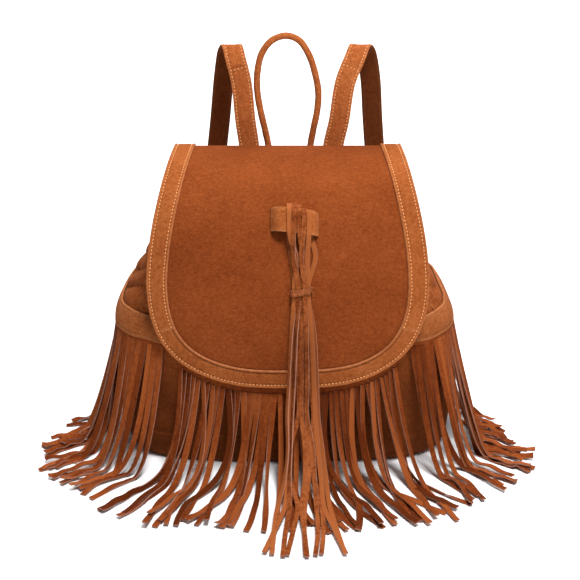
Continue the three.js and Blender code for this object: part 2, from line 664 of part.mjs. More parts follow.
// A rolled suede cord whose two ends are pressed flat where they are sewn down.
const handlePath = smooth([
  onBack(-17, SEWN_LOW), onBack(-17, 244), [-17.3, 51.5, 262], [-20.5, 53.8, 279], [-24.5, 57, 296],
  [-27.5, 60.3, 314], [-27.6, 63, 330], [-23.5, 66.5, 348.5], [-14, 68.6, 360.5],
  [-1.5, 69.4, 364.5], [10, 68.6, 360.5], [18.8, 66.3, 348], [24.2, 63.5, 332.5],
  [27.6, 60.3, 314], [26.6, 57.2, 297], [23.2, 54.2, 280], [20.2, 51.5, 262],
  onBack(20, 244), onBack(20, SEWN_LOW),
]);
handlePath.arcLengthDivisions = 400;
function handleRadii(share) {
  const fromEnd = Math.min(share, 1 - share) * handlePath.getLength();
  const round = THREE.MathUtils.smoothstep(fromEnd, 18, 40);
  return [lerp(STRAP_THICK / 2, HANDLE_RADIUS, round), lerp(4.2, HANDLE_RADIUS, round)];
}
const BACKWARDS = new THREE.Vector3(0, 1, 0);
add('handle', roundCord(handlePath, 30, 8, BACKWARDS, handleRadii), suede);

// The patch sewn over the ends of the handle and the straps.
const PATCH_THICK = 1.6;
const PATCH_FROM = -54;
const PATCH_TO = 60;
const patchLift = SUEDE / 2 + STRAP_THICK + 1.8 + PATCH_THICK / 2;
const patchSurface = (minusX, height) => backSurface(-minusX, height);
const patchRows = [SEWN_LOW - 4, RIM_HEIGHT, RIM_HEIGHT + 8];
const patch = sheet([-PATCH_TO, -PATCH_FROM], patchRows, 10, PATCH_THICK, patchSurface, patchLift);
add('back_patch', patch, paleSuede);

// Each strap rises behind the flap, turns over and hangs down behind the bag to its adjuster.
// The side is -1 for the left strap and 1 for the right.
const ADJUSTER_HEIGHT = 118;
const HANG_Y = 113;
const ADJUSTER = { width: 25, height: 26, thick: 2.4, bar: 3 };
const strapPlans = {
  left: { sewn: -35, rise: -42, top: -50.5, fall: -58.5, hang: -73 },
  right: { sewn: 41, rise: 52, top: 65.5, fall: 75.5, hang: 86 },
};
// where the strap loops under the adjuster's upper bar
const upperBar = ADJUSTER_HEIGHT + ADJUSTER.height / 2 - ADJUSTER.bar / 2;
const upperTurn = ADJUSTER.thick / 2 + 2 * GAP + STRAP_THICK / 2;
function halfTurn(x, height, radius, up) {
  const turn = [];
  for (let i = 0; i <= 6; i += 1) {
    const angle = (i / 6) * Math.PI;
    const side = Math.cos(angle) * radius;
    turn.push([x, HANG_Y + side, height + up * Math.sin(angle) * (radius + 0.4)]);
  }
  return turn;
}
function upperStrap(plan) {
  return smooth([
    onBack(plan.sewn, SEWN_LOW), onBack(plan.sewn, 244), [plan.sewn, 51.5, 262],
    [lerp(plan.sewn, plan.rise, 0.5), 56, 288], [plan.rise, 63, 322],
    [lerp(plan.rise, plan.top, 0.6), 69.5, 342],
    [plan.top, 79, 351], [lerp(plan.top, plan.fall, 0.5), 89, 343],
    [plan.fall, 97, 316], [lerp(plan.fall, plan.hang, 0.3), 105, 270],
    [lerp(plan.fall, plan.hang, 0.7), 113.5, 215], [plan.hang, HANG_Y + upperTurn + 0.6, 165],
    [plan.hang, HANG_Y + upperTurn, 142], ...halfTurn(plan.hang, upperBar - 1, upperTurn, -1),
    [plan.hang, HANG_Y - upperTurn, 140],
  ]);
}
for (const [side, plan] of Object.entries(strapPlans)) {
  const path = upperStrap(plan);
  path.arcLengthDivisions = 600;
  add(`shoulder_strap_${side}`, strip(path, 44, STRAP_WIDTH, STRAP_THICK), suede);
}

// The adjuster is a flat slide with three bars.
function adjuster(x) {
  const rectangle = (halfWidth, low, high) => [
    [-halfWidth, low], [halfWidth, low], [halfWidth, high], [-halfWidth, high],
  ].map((p) => new THREE.Vector2(...p));
  const { width, height, thick, bar } = ADJUSTER;
  const plate = new THREE.Shape(rectangle(width / 2, -height / 2, height / 2));
  const slot = (low, high) => new THREE.Path(rectangle(width / 2 - bar, low, high).reverse());
  plate.holes.push(slot(bar / 2, height / 2 - bar), slot(bar - height / 2, -bar / 2));
  const solid = new THREE.ExtrudeGeometry(plate, { depth: thick, bevelEnabled: false });
  return bend(solid, (p) => new THREE.Vector3(x + p.x, HANG_Y + thick / 2 - p.z, ADJUSTER_HEIGHT + p.y));
}
const lowerTurn = ADJUSTER.thick / 2 + 2 * GAP + WEBBING_THICK / 2;
const ANCHOR_X = 106;
const ANCHOR_HALF = 12;
const ANCHOR_ROWS = [12, 24, 34];
const ANCHOR_LIFT = SUEDE / 2 + 1.4;
for (const [side, plan] of Object.entries(strapPlans)) {
  add(`strap_adjuster_${side}`, adjuster(plan.hang), brass);
  const out = Math.sign(plan.hang);
  const base = backSurface(out * ANCHOR_X, 20);
  const path = smooth([
    [plan.hang, HANG_Y - lowerTurn - 0.6, 70], [plan.hang, HANG_Y - lowerTurn, 96],
    ...halfTurn(plan.hang, ADJUSTER_HEIGHT + 0.8, lowerTurn, 1).reverse(),
    [plan.hang, HANG_Y + lowerTurn, 96], [plan.hang + out, HANG_Y + 4, 60],
    [plan.hang + out * 4, HANG_Y + 8, 24], [plan.hang + out * 10, HANG_Y + 2, 5],
    [plan.hang + out * 18, HANG_Y - 16, 3.5], [out * (ANCHOR_X - 3), base.y + 13, 8],
    [out * ANCHOR_X, base.y + 7.4, 17], [out * ANCHOR_X, base.y + 6.6, 26],
  ]);
  path.arcLengthDivisions = 500;
  add(`lower_strap_${side}`, strip(path, 34, WEBBING_WIDTH, WEBBING_THICK), suede);
  const tab = (minusX, height) => backSurface(-minusX, height);
  const tabMiddle = -out * ANCHOR_X;
  const ends = [tabMiddle - ANCHOR_HALF, tabMiddle + ANCHOR_HALF];
  const anchor = sheet(ends, ANCHOR_ROWS, 6, STRAP_THICK / 2, tab, ANCHOR_LIFT);
  add(`strap_anchor_${side}`, anchor, suede);
}

export default bag;
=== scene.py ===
"""A fringed suede backpack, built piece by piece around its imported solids.

Metres, +Z up, and the front of the bag faces -Y. Every section makes one piece or one group of like pieces,
in the order in which the bag is put together: body, lining, band, fringes, cord, straps, flap, tassel.
"""
import math

import bpy
import numpy as np
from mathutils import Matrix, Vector


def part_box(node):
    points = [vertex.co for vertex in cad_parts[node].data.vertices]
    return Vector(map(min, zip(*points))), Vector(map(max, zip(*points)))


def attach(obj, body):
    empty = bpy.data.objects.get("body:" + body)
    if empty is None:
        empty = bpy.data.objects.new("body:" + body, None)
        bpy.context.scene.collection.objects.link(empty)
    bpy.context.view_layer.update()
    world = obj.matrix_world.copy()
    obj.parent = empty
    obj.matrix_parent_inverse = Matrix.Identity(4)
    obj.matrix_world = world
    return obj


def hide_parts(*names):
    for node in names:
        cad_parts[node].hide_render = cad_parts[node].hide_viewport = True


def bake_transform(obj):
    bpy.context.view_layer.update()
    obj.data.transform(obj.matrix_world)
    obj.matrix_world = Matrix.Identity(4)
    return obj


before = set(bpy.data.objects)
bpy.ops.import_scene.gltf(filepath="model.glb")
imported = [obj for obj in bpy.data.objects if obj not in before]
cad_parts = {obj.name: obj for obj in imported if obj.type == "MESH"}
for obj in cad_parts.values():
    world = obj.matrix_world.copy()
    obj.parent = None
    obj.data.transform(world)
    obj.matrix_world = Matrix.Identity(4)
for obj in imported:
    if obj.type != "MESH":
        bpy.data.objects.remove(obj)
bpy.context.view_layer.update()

# ---------------------------------------------------------------- the camera
# A long lens in front of the bag and a little above it, level from side to side.
LOOK_AT = Vector((0.002, 0.0, 0.144))
CAMERA_AWAY = 2.2
CAMERA_TILT = math.radians(26)

camera_data = bpy.data.cameras.new("camera")
camera_data.lens = 149.5
camera_data.sensor_width = 36
camera = bpy.data.objects.new("camera", camera_data)
camera.location = LOOK_AT + CAMERA_AWAY * Vector((0, -math.cos(CAMERA_TILT), math.sin(CAMERA_TILT)))
camera.rotation_euler = (math.radians(90) - CAMERA_TILT, 0, 0)
bpy.context.scene.collection.objects.link(camera)
bpy.context.scene.camera = camera
bpy.context.scene.view_settings.view_transform = "Standard"

# ---------------------------------------------------------------- the studio
# A white floor under an even white sky. One large soft lamp hangs above and in front, a smaller one shines
# from the right, and a third one lights the floor behind the bag.
FLOOR_HALF = 6.0
SKY_STRENGTH = 0.16
LAMPS = [
    # name, place, the point it shines at, side of the square, power in watts
    ("key_lamp", (0.45, -0.95, 2.8), (0.0, 0.0, 0.14), 0.75, 112),
    ("side_lamp", (1.9, -0.9, 1.2), (0.0, 0.0, 0.14), 0.8, 9),
    ("floor_lamp", (0.0, 1.9, 2.6), (0.0, 1.3, 0.0), 1.8, 85),
]


def linear(red, green, blue):
    """A colour given in 0 to 255 as it looks, turned into the values that the shaders work with."""
    def one(v):
        v = v / 255
        return v / 12.92 if v <= 0.04045 else ((v + 0.055) / 1.055) ** 2.4
    return (one(red), one(green), one(blue), 1.0)


def new_material(name):
    material = bpy.data.materials.new(name)
    material.use_nodes = True
    return material, material.node_tree, material.node_tree.nodes["Principled BSDF"]


floor_mesh = bpy.data.meshes.new("floor")
floor_corners = [(-FLOOR_HALF, -FLOOR_HALF, 0), (FLOOR_HALF, -FLOOR_HALF, 0),
                 (FLOOR_HALF, FLOOR_HALF, 0), (-FLOOR_HALF, FLOOR_HALF, 0)]
floor_mesh.from_pydata(floor_corners, [], [(0, 1, 2, 3)])
floor = bpy.data.objects.new("floor", floor_mesh)
bpy.context.scene.collection.objects.link(floor)
floor_paint, _, floor_shader = new_material("white_floor")
floor_shader.inputs["Base Color"].default_value = (0.93, 0.93, 0.94, 1)
floor_shader.inputs["Roughness"].default_value = 0.8
floor_shader.inputs["Specular IOR Level"].default_value = 0.1
floor_mesh.materials.append(floor_paint)

sky = bpy.data.worlds.new("sky")
sky.use_nodes = True
sky.node_tree.nodes["Background"].inputs["Color"].default_value = (1, 1, 1, 1)
sky.node_tree.nodes["Background"].inputs["Strength"].default_value = SKY_STRENGTH
bpy.context.scene.world = sky
for lamp_name, lamp_place, lamp_aim, lamp_side, lamp_power in LAMPS:
    lamp_data = bpy.data.lights.new(lamp_name, "AREA")
    lamp_data.size = lamp_side
    lamp_data.energy = lamp_power
    lamp = bpy.data.objects.new(lamp_name, lamp_data)
    lamp.location = lamp_place
    lamp.rotation_euler = (Vector(lamp_aim) - Vector(lamp_place)).to_track_quat("-Z", "Y").to_euler()
    bpy.context.scene.collection.objects.link(lamp)

# ---------------------------------------------------------------- the body panels
# Four suede panels sewn edge to edge: front, two side gussets and a taller back. The suede is 2.4 mm thick
# with its backing, and is drawn into pleats at the mouth. The base is a plate of the same suede.
BODY_SUEDE = 0.0024
SEAM_ANGLE = 28.0                 # degrees from the side of the bag to the seams of a gusset
FRONT_ROUNDNESS = 3.3
BACK_ROUNDNESS = 5.0
BACK_TAPER = 0.05                 # the body is this share narrower at the back than at the front
# the loft: height, half width, half depth, middle in depth
BODY_PLANS = np.array([
    [0.0015, 0.143, 0.064, 0.0],
    [0.012, 0.147, 0.068, 0.0],
    [0.060, 0.152, 0.072, 0.0],
    [0.116, 0.153, 0.074, 0.0],
    [0.136, 0.148, 0.0735, 0.0],
    [0.150, 0.141, 0.072, 0.0],
    [0.175, 0.126, 0.066, 0.0],
    [0.205, 0.111, 0.057, 0.0],
    [0.222, 0.103, 0.047, 0.0005],
    [0.240, 0.101, 0.043, 0.002],
    [0.262, 0.100, 0.043, 0.001],
])
BODY_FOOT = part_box("front_panel")[0].z
RIM_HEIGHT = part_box("front_panel")[1].z
BACK_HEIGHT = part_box("back_panel")[1].z
BAND_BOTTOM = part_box("waist_band")[0].z
BAND_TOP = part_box("waist_band")[1].z
PLEAT_PITCH = 0.017
PLEAT_DEPTH = 0.0075
SAG_PITCH = 0.019                 # the folds in which the filled body sags over the band at its corners
SAG_DEPTH = 0.0068
SAG_AT = 0.168                    # distance round the body from its front to a corner
SAG_REACH = 0.042                 # and how far to both sides of it the folds reach
SLUMP = -0.0036                   # the filled body leans a little to the left at the band


def smoothstep(value, low, high):
    t = np.clip((value - low) / (high - low), 0, 1)
    return t * t * (3 - 2 * t)


def body_plan(height):
    """Half width, half depth and middle of the body at each height, on smooth curves through the loft."""
    at = BODY_PLANS[:, 0]
    values = BODY_PLANS[:, 1:]
    slopes = np.gradient(values, at, axis=0)
    height = np.asarray(height, float)
    i = np.clip(np.searchsorted(at, height) - 1, 0, len(at) - 2)
    step = at[i + 1] - at[i]
    t = ((np.clip(height, at[0], at[-1]) - at[i]) / step)[..., None]
    step = step[..., None]
    return ((2 * t**3 - 3 * t**2 + 1) * values[i] + (t**3 - 2 * t**2 + t) * step * slopes[i]
            + (3 * t**2 - 2 * t**3) * values[i + 1] + (t**3 - t**2) * step * slopes[i + 1])


def narrowing(deep):
    """How much narrower the body is at a depth, which runs from -1 at the front to 1 at the back."""
    return 1 - BACK_TAPER * smoothstep(deep, -0.4, 1.0)


def plan_outline(angle, height):
    """A point of the plain loft and its way out, without folds. In degrees, 0 is right and -90 the front."""
    c = np.cos(np.radians(angle))
    s = np.sin(np.radians(angle))
    plan = body_plan(height)
    rounding = np.where(s > 0, BACK_ROUNDNESS, FRONT_ROUNDNESS)
    slump = SLUMP * smoothstep(height, 0.04, 0.12) * smoothstep(height, 0.205, 0.15) * c**2
    across = np.sign(c) * np.abs(c) ** (2 / rounding)
    deep = np.sign(s) * np.abs(s) ** (2 / rounding)
    out_x = np.sign(across) * np.abs(across) ** (rounding - 1) / plan[..., 0]
    out_y = np.sign(deep) * np.abs(deep) ** (rounding - 1) / plan[..., 1]
    size = np.hypot(out_x, out_y)
    x = across * plan[..., 0] * narrowing(deep) + slump
    y = plan[..., 2] + deep * plan[..., 1]
    return x, y, out_x / size, out_y / size


# distance round the body from the middle of the front, against the angle, measured at one height
MEASURED_AT = 0.16
ROUND_ANGLES = np.linspace(-270, 90, 2881)
round_x, round_y, _, _ = plan_outline(ROUND_ANGLES, np.full(ROUND_ANGLES.shape, MEASURED_AT))
ROUND_DISTANCES = np.concatenate([[0], np.cumsum(np.hypot(np.diff(round_x), np.diff(round_y)))])
ROUND_DISTANCES -= np.interp(-90, ROUND_ANGLES, ROUND_DISTANCES)


def distance_round(angle):
    return np.interp(angle, ROUND_ANGLES, ROUND_DISTANCES)


def angle_round(distance):
    return np.interp(distance, ROUND_DISTANCES, ROUND_ANGLES)


def body_folds(angle, height):
    """How far the suede stands out from the plain loft: in the pleats at the mouth, in the folds in which it
    sags over the band at the corners, and in soft dents."""
    s = distance_round(angle)
    front = smoothstep(-np.sin(np.radians(angle)), -0.75, 0.1)
    lean = 0.35 * np.sign(s) * (RIM_HEIGHT - height)
    phase = 2 * math.pi * (s + lean) / PLEAT_PITCH + 1.5 * np.sin(21 * s + 0.6) + 1.1 * np.sin(47 * s + 2.0)
    ridge = np.abs(np.sin(phase / 2)) ** 0.7 - 0.8
    start = BAND_TOP - 0.006 + 0.014 * np.sin(33 * s + 1.0)
    depth = PLEAT_DEPTH * smoothstep(height, start, 0.200) * (0.12 + 0.88 * front)
    broad = (np.sin(phase / 4.6 + 0.8) * smoothstep(height, BAND_TOP - 0.002, 0.17)
             * smoothstep(height, 0.232, 0.19))
    dents = (0.0016 * np.sin(26 * s + 0.4) * np.sin(38 * height + 1.0)
             + 0.0011 * np.sin(61 * s + 2.1) * np.sin(70 * height + 0.3))
    held = smoothstep(height, 0.0, 0.03)
    from_corner = np.abs(s) - SAG_AT
    corner = np.exp(-(from_corner / SAG_REACH) ** 2)
    sag_phase = 2 * math.pi * (height + 0.5 * from_corner + 0.002 * np.sin(90 * s)) / SAG_PITCH
    sag = np.abs(np.sin(sag_phase / 2)) ** 0.6 - 0.7
    sag *= (SAG_DEPTH * corner * smoothstep(height, BAND_TOP, BAND_TOP + 0.006)
            * smoothstep(height, 0.200, 0.165))
    return depth * ridge + 0.0020 * broad * front + dents * held + sag


def on_body(angle, height, lift=0.0):
    """A point of the body's suede, at its middle thickness or lifted out from it."""
    angle, height, lift = np.broadcast_arrays(np.asarray(angle, float), height, lift)
    x, y, out_x, out_y = plan_outline(angle, height)
    out = body_folds(angle, height) + lift
    return np.stack([x + out * out_x, y + out * out_y, np.broadcast_to(height, x.shape)], -1)


SHARP_FROM = math.radians(48)     # corners sharper than this stay sharp


def link(name, mesh, material):
    """An object at the origin that holds the mesh, with its material, and smooth except at sharp corners."""
    mesh.materials.clear()
    mesh.materials.append(material)
    mesh.shade_smooth()
    mesh.set_sharp_from_angle(angle=SHARP_FROM)
    piece = bpy.data.objects.new(name, mesh)
    bpy.context.scene.collection.objects.link(piece)
    return piece


def closed_mesh(name, points, faces, **marks):
    """A closed mesh with its faces turned outwards. Of its marks, cut is for raw cut faces, edge for points
    near an edge, and under for points whose colour is darkened with painted shade."""
    mesh = bpy.data.meshes.new(name)
    mesh.from_pydata(points.tolist(), [], faces.tolist() if isinstance(faces, np.ndarray) else faces)
    mesh.calc_loop_triangles()
    corners = np.empty(len(mesh.loop_triangles) * 3, np.int32)
    mesh.loop_triangles.foreach_get("vertices", corners)
    a, b, c = (points[corners[k::3]] for k in range(3))
    if np.einsum("ij,ij->", a, np.cross(b, c)) < 0:
        mesh.flip_normals()
    for label, values in marks.items():
        if values is not None:
            layer = mesh.attributes.new(label, "FLOAT", "FACE" if label == "cut" else "POINT")
            layer.data.foreach_set("value", np.asarray(values, np.float32))
    return mesh


def distance_along(points):
    """The distance from the first point of a line, at each of its points. A grid is taken as lines that lie
    side by side."""
    run = np.cumsum(np.linalg.norm(np.diff(points, axis=0), axis=-1), axis=0)
    return np.concatenate([np.zeros((1, *run.shape[1:])), run])


EDGE_SHARE = 0.4                  # how thick a sheet still is at its very edge, against its middle
EDGE_ROUNDING = 0.0011            # how far in from its edge a sheet is rounded
EDGE_WORN = 0.0035                # and how far in it is rubbed paler


def steps(length, pitch, rounding=EDGE_ROUNDING):
    """Distances from 0 to length about a pitch apart, closer at both ends, where the edge is rounded."""
    near = np.array([0, 0.22, 0.55, 1.0, 1.7]) * rounding
    middle = np.linspace(near[-1], length - near[-1], max(3, int(round(length / pitch))))
    return np.concatenate([near[:-1], middle, length - near[:-1][::-1]])


def steps_between(first, last, pitch):
    """The same steps, from the first place to the last one."""
    return first + steps(last - first, pitch)


def slab(name, place, us, vs, thick, material, lift=0.0, relief=None, rounding=EDGE_ROUNDING,
         cuts=(1, 1, 1, 1), under=None):
    """A sheet with two faces and rounded edges. place(u, v, lift) gives its points, and relief(u, v, near_u,
    near_v) raises its outer face. cuts says which of its edges are raw: first u, last u, first v, last v.
    under(u, v) gives how much painted shade darkens the suede on its outer and on its inner face."""
    u, v = np.meshgrid(us, vs, indexing="ij")
    middle = place(u, v, np.full(u.shape, lift))
    run_u = distance_along(middle)
    run_v = distance_along(middle.swapaxes(0, 1)).T
    near_u = np.minimum(run_u, run_u[-1:] - run_u)
    near_v = np.minimum(run_v, run_v[:, -1:] - run_v)
    near = np.minimum(near_u, near_v)
    inwards = 1 - np.clip(near / rounding, 0, 1)
    full = EDGE_SHARE + (1 - EDGE_SHARE) * np.sqrt(1 - inwards**2)
    raised = 0 if relief is None else relief(u, v, near_u, near_v)
    outer = place(u, v, lift + full * thick / 2 + raised)
    inner = place(u, v, lift - full * thick / 2)
    rows, columns = u.shape
    index = np.arange(rows * columns).reshape(rows, columns)
    a, b, c, d = index[:-1, :-1], index[1:, :-1], index[1:, 1:], index[:-1, 1:]
    top = np.stack([a, b, c, d], -1).reshape(-1, 4)
    lower = top[:, ::-1] + rows * columns
    rim = []
    raw = []
    for line, is_cut in zip((index[0, ::-1], index[-1], index[:, 0], index[::-1, -1]), cuts):
        here, after = line[:-1], line[1:]
        rim.append(np.stack([after, here, here + rows * columns, after + rows * columns], -1))
        raw.append(np.full(len(here), float(is_cut)))
    faces = np.concatenate([top, lower, *rim])
    cut = np.concatenate([np.zeros(len(top) + len(lower)), *raw])
    edge = np.clip(1 - near / EDGE_WORN, 0, 1).ravel()
    points = np.concatenate([outer.reshape(-1, 3), inner.reshape(-1, 3)])
    dark = None
    if under is not None:
        dark = np.concatenate([np.broadcast_to(value, u.shape).ravel() for value in under(u, v)])
    mesh = closed_mesh(name, points, faces, cut=cut, edge=np.concatenate([edge, edge]), under=dark)
    return link(name, mesh, material)


def node_value(tree, kind, **settings):
    """A new node. Settings that name a socket fill that socket, and the others are the node's own."""
    node = tree.nodes.new(kind)
    for key, value in settings.items():
        socket = node.inputs.get(key.replace("_", " "))
        if socket is None:
            setattr(node, key, value)
        elif isinstance(value, bpy.types.NodeSocket):
            tree.links.new(value, socket)
        else:
            socket.default_value = value
    return node


def math_node(tree, operation, first, second, third=None):
    node = tree.nodes.new("ShaderNodeMath")
    node.operation = operation
    for socket, value in zip(node.inputs, (first, second, third)):
        if isinstance(value, bpy.types.NodeSocket):
            tree.links.new(value, socket)
        elif value is not None:
            socket.default_value = value
    return node.outputs[0]


def mix_colours(tree, share, first, second):
    node = tree.nodes.new("ShaderNodeMix")
    node.data_type = "RGBA"
    for name, value in (("Factor_Float", share), ("A_Color", first), ("B_Color", second)):
        socket = next(s for s in node.inputs if s.identifier == name)
        if isinstance(value, bpy.types.NodeSocket):
            tree.links.new(value, socket)
        else:
            socket.default_value = value
    return next(s for s in node.outputs if s.identifier == "Result_Color")


RAW_EDGE = linear(158, 112, 94)


def suede(name, colours, nap=(150, 150, 700), mottle=1.0, wear=0.5):
    """Napped suede: broad and small patches of lighter and darker nap, a short grain along the nap, fine
    fibres, paler worn edges, raw cut edges, and painted shade where it is marked. The colours are its
    deepest, its middle, its palest and its worn one, in 0 to 255, and the nap's three numbers are its scale
    along x, y and z."""
    deep, middle, pale, worn = (linear(*colour) for colour in colours)
    material, tree, shader = new_material(name)
    here = tree.nodes.new("ShaderNodeTexCoord").outputs["Object"]

    def noise(scale, detail, roughness, where=here):
        return node_value(tree, "ShaderNodeTexNoise", Vector=where, Scale=scale, Detail=detail,
                          Roughness=roughness).outputs["Fac"]

    def mark(label):
        return node_value(tree, "ShaderNodeAttribute", attribute_name=label).outputs["Fac"]

    def layered(shade, layer, strength):
        lowered = math_node(tree, "SUBTRACT", shade, strength / 2)
        return math_node(tree, "MULTIPLY_ADD", layer, strength, lowered)

    broad = noise(22, 3, 0.6)
    patches = noise(290, 4, 0.65)
    fibres = noise(620, 3, 0.7)
    stretched = node_value(tree, "ShaderNodeMapping", Vector=here, Scale=nap).outputs["Vector"]
    grain = noise(1, 3, 0.6, stretched)
    shade = math_node(tree, "MULTIPLY_ADD", broad, 0.5 * mottle, 0.5 - 0.25 * mottle)
    shade = layered(shade, patches, 0.5 * mottle)
    shade = layered(shade, grain, 0.5 * mottle)
    shade = layered(shade, fibres, 0.8)
    shade = math_node(tree, "MULTIPLY_ADD", mark("tone"), 0.36, shade)
    ramp = tree.nodes.new("ShaderNodeValToRGB")
    ramp.color_ramp.elements[0].position = 0.18
    ramp.color_ramp.elements[0].color = deep
    ramp.color_ramp.elements[1].position = 0.82
    ramp.color_ramp.elements[1].color = pale
    ramp.color_ramp.elements.new(0.5).color = middle
    tree.links.new(shade, ramp.inputs["Fac"])
    wear_here = math_node(tree, "MULTIPLY_ADD", patches, 2 * wear, -0.35 * wear)
    rubbed = math_node(tree, "MULTIPLY", mark("edge"), wear_here)
    rubbed.node.use_clamp = True
    colour = mix_colours(tree, rubbed, ramp.outputs["Color"], worn)
    raw_share = math_node(tree, "MULTIPLY", mark("cut"), math_node(tree, "MULTIPLY_ADD", patches, 0.8, 0.3))
    colour = mix_colours(tree, raw_share, colour, RAW_EDGE)
    # Painted shade: as far as the mark asks, the colour is drawn towards a dark brown, 0.42 times the deepest
    # colour, which stands in for shadow.
    colour = mix_colours(tree, mark("under"), colour, (*(0.42 * part for part in deep[:3]), 1.0))
    tree.links.new(colour, shader.inputs["Base Color"])
    height = math_node(tree, "MULTIPLY_ADD", patches, 1.1, fibres)
    height = math_node(tree, "MULTIPLY_ADD", grain, 0.7, height)
    bump = node_value(tree, "ShaderNodeBump", Height=height, Strength=0.5, Distance=0.0007)
    tree.links.new(bump.outputs["Normal"], shader.inputs["Normal"])
    shader.inputs["Roughness"].default_value = 0.95
    shader.inputs["Specular IOR Level"].default_value = 0.04
    shader.inputs["Sheen Weight"].default_value = 0.03
    shader.inputs["Sheen Roughness"].default_value = 0.5
    shader.inputs["Sheen Tint"].default_value = (1.0, 0.6, 0.35, 1)
    return material


body_suede = suede("body_suede", [(103, 47, 17), (129, 65, 29), (153, 85, 44), (169, 105, 61)])

SEAM_DIP = 0.0017                 # how far a panel's edge rolls in at a seam
SEAM_REACH = 0.006
SEAM_STITCH_IN = 0.0042           # how far from the seam its stitches lie
FOOT_SEAM = 0.031                 # height of the seam above the turned-up base
HEM_DEEP = 0.0125                 # depth of the hem that is turned in at the mouth


def seam_roll(near):
    return -SEAM_DIP * (1 - np.clip(near / SEAM_REACH, 0, 1)) ** 2


def body_panel(node, from_angle, to_angle):
    """One panel of the body, between two seams and from the base up to the mouth."""
    ends = distance_round(np.array([from_angle, to_angle]))
    across = steps_between(*ends, 0.0021)
    up = steps_between(BODY_FOOT, RIM_HEIGHT, 0.0026)

    def place(u, v, lift):
        near = np.minimum(u - ends[0], ends[1] - u)
        return on_body(angle_round(u), v, lift + seam_roll(near) + 0.7 * seam_roll(v - BODY_FOOT))

    def relief(u, v, near_u, near_v):
        hem = 0.0009 * smoothstep(v, RIM_HEIGHT - HEM_DEEP - 0.0007, RIM_HEIGHT - HEM_DEEP + 0.0007)
        foot_seam = 0.0011 * np.exp(-((v - FOOT_SEAM) / 0.0011) ** 2)
        return hem - foot_seam - 0.0006 * np.exp(-((near_u - SEAM_STITCH_IN) / 0.0009) ** 2)

    # Painted shade: the outer face is darkened from the band's lower edge downwards, fully below 6 cm, where
    # the flap and the fringes shade the body, and the inner face, inside the bag, a little all over.
    def under(u, v):
        return 0.45 * smoothstep(v, BAND_BOTTOM, 0.06), 0.3

    panel = slab(f"suede_{node}", place, across, up, BODY_SUEDE, body_suede, relief=relief, under=under)
    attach(panel, "root")
    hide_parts(node)


SEAM_GAP = 0.1                    # degrees between a seam and the edge of a panel
LEFT_SEAM = -180 - SEAM_ANGLE     # where the left gusset meets the back
body_panel("front_panel", -180 + SEAM_ANGLE + SEAM_GAP, -SEAM_ANGLE - SEAM_GAP)
body_panel("side_gusset_right", -SEAM_ANGLE + SEAM_GAP, SEAM_ANGLE - SEAM_GAP)
body_panel("side_gusset_left", LEFT_SEAM + SEAM_GAP, -180 + SEAM_ANGLE - SEAM_GAP)

# The back panel lies between the two gussets. Its edges are measured from the middle of the back, and the
# left one is further away, because the body leans a little.
back_ends = (distance_round(SEAM_ANGLE + SEAM_GAP) - ROUND_DISTANCES[-1],
             distance_round(LEFT_SEAM - SEAM_GAP) - ROUND_DISTANCES[0])
back_across = steps_between(*back_ends, 0.003)
back_up = steps_between(BODY_FOOT, BACK_HEIGHT, 0.003)


def on_back(distance, height, lift):
    """A point of the back panel, from its distance to the left of the middle of the back."""
    angle = angle_round(np.where(distance < 0, ROUND_DISTANCES[-1], ROUND_DISTANCES[0]) + distance)
    near = np.minimum(distance - back_ends[0], back_ends[1] - distance)
    return on_body(angle, height, lift + seam_roll(near) + 0.7 * seam_roll(height - BODY_FOOT))


back_panel = slab("suede_back_panel", on_back, back_across, back_up, BODY_SUEDE, body_suede)
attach(back_panel, "root")
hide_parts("back_panel")

# The base is a suede plate with a turned-up rim, and the fibre board lies on it.
BASE_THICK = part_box("base_panel")[1].z
BASE_INSET = 0.0019


def base_point(u, v, lift):
    x, y, out_x, out_y = plan_outline(u, np.full(u.shape, BODY_FOOT))
    size = 1 - v
    x = (x - BASE_INSET * out_x) * size
    y = (y - BASE_INSET * out_y) * size
    return np.stack([x, y, BASE_THICK / 2 + lift], -1)


def ring_faces(count, sides, closed=False):
    """The faces that join each ring of points to the next one, and the last ring to the first if closed."""
    faces = []
    for r in range(count if closed else count - 1):
        s = (r + 1) % count
        for i in range(sides):
            j = (i + 1) % sides
            faces.append((r * sides + i, r * sides + j, s * sides + j, s * sides + i))
    return faces


def centre_faces(count, sides):
    """The faces that close the first and the last ring round two middle points, which follow the rings."""
    low = count * sides
    last = low - sides
    faces = []
    for i in range(sides):
        j = (i + 1) % sides
        faces += [(low, j, i), (low + 1, last + i, last + j)]
    return faces


def even_angles(count):
    """Angles at an even distance from each other, all round the body."""
    return angle_round(np.linspace(ROUND_DISTANCES[0], ROUND_DISTANCES[-1], count + 1))[:-1]


def base_mesh():
    angles = even_angles(180)
    rings = [(0.0, -0.2), (0.0, 0.2), (0.006, 0.5), (0.2, 0.5), (0.6, 0.5)]
    rings = [*[(s, -h) for s, h in reversed(rings)][:-2], *rings]
    points = [base_point(angles, np.full(angles.shape, s), np.full(angles.shape, h * BASE_THICK))
              for s, h in rings]
    points = np.concatenate([*points, [[0, 0, 0], [0, 0, BASE_THICK]]])
    faces = ring_faces(len(rings), len(angles)) + centre_faces(len(rings), len(angles))
    return closed_mesh("suede_base_panel", points, faces)


base_panel = link("suede_base_panel", base_mesh(), body_suede)
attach(base_panel, "root")
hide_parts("base_panel")


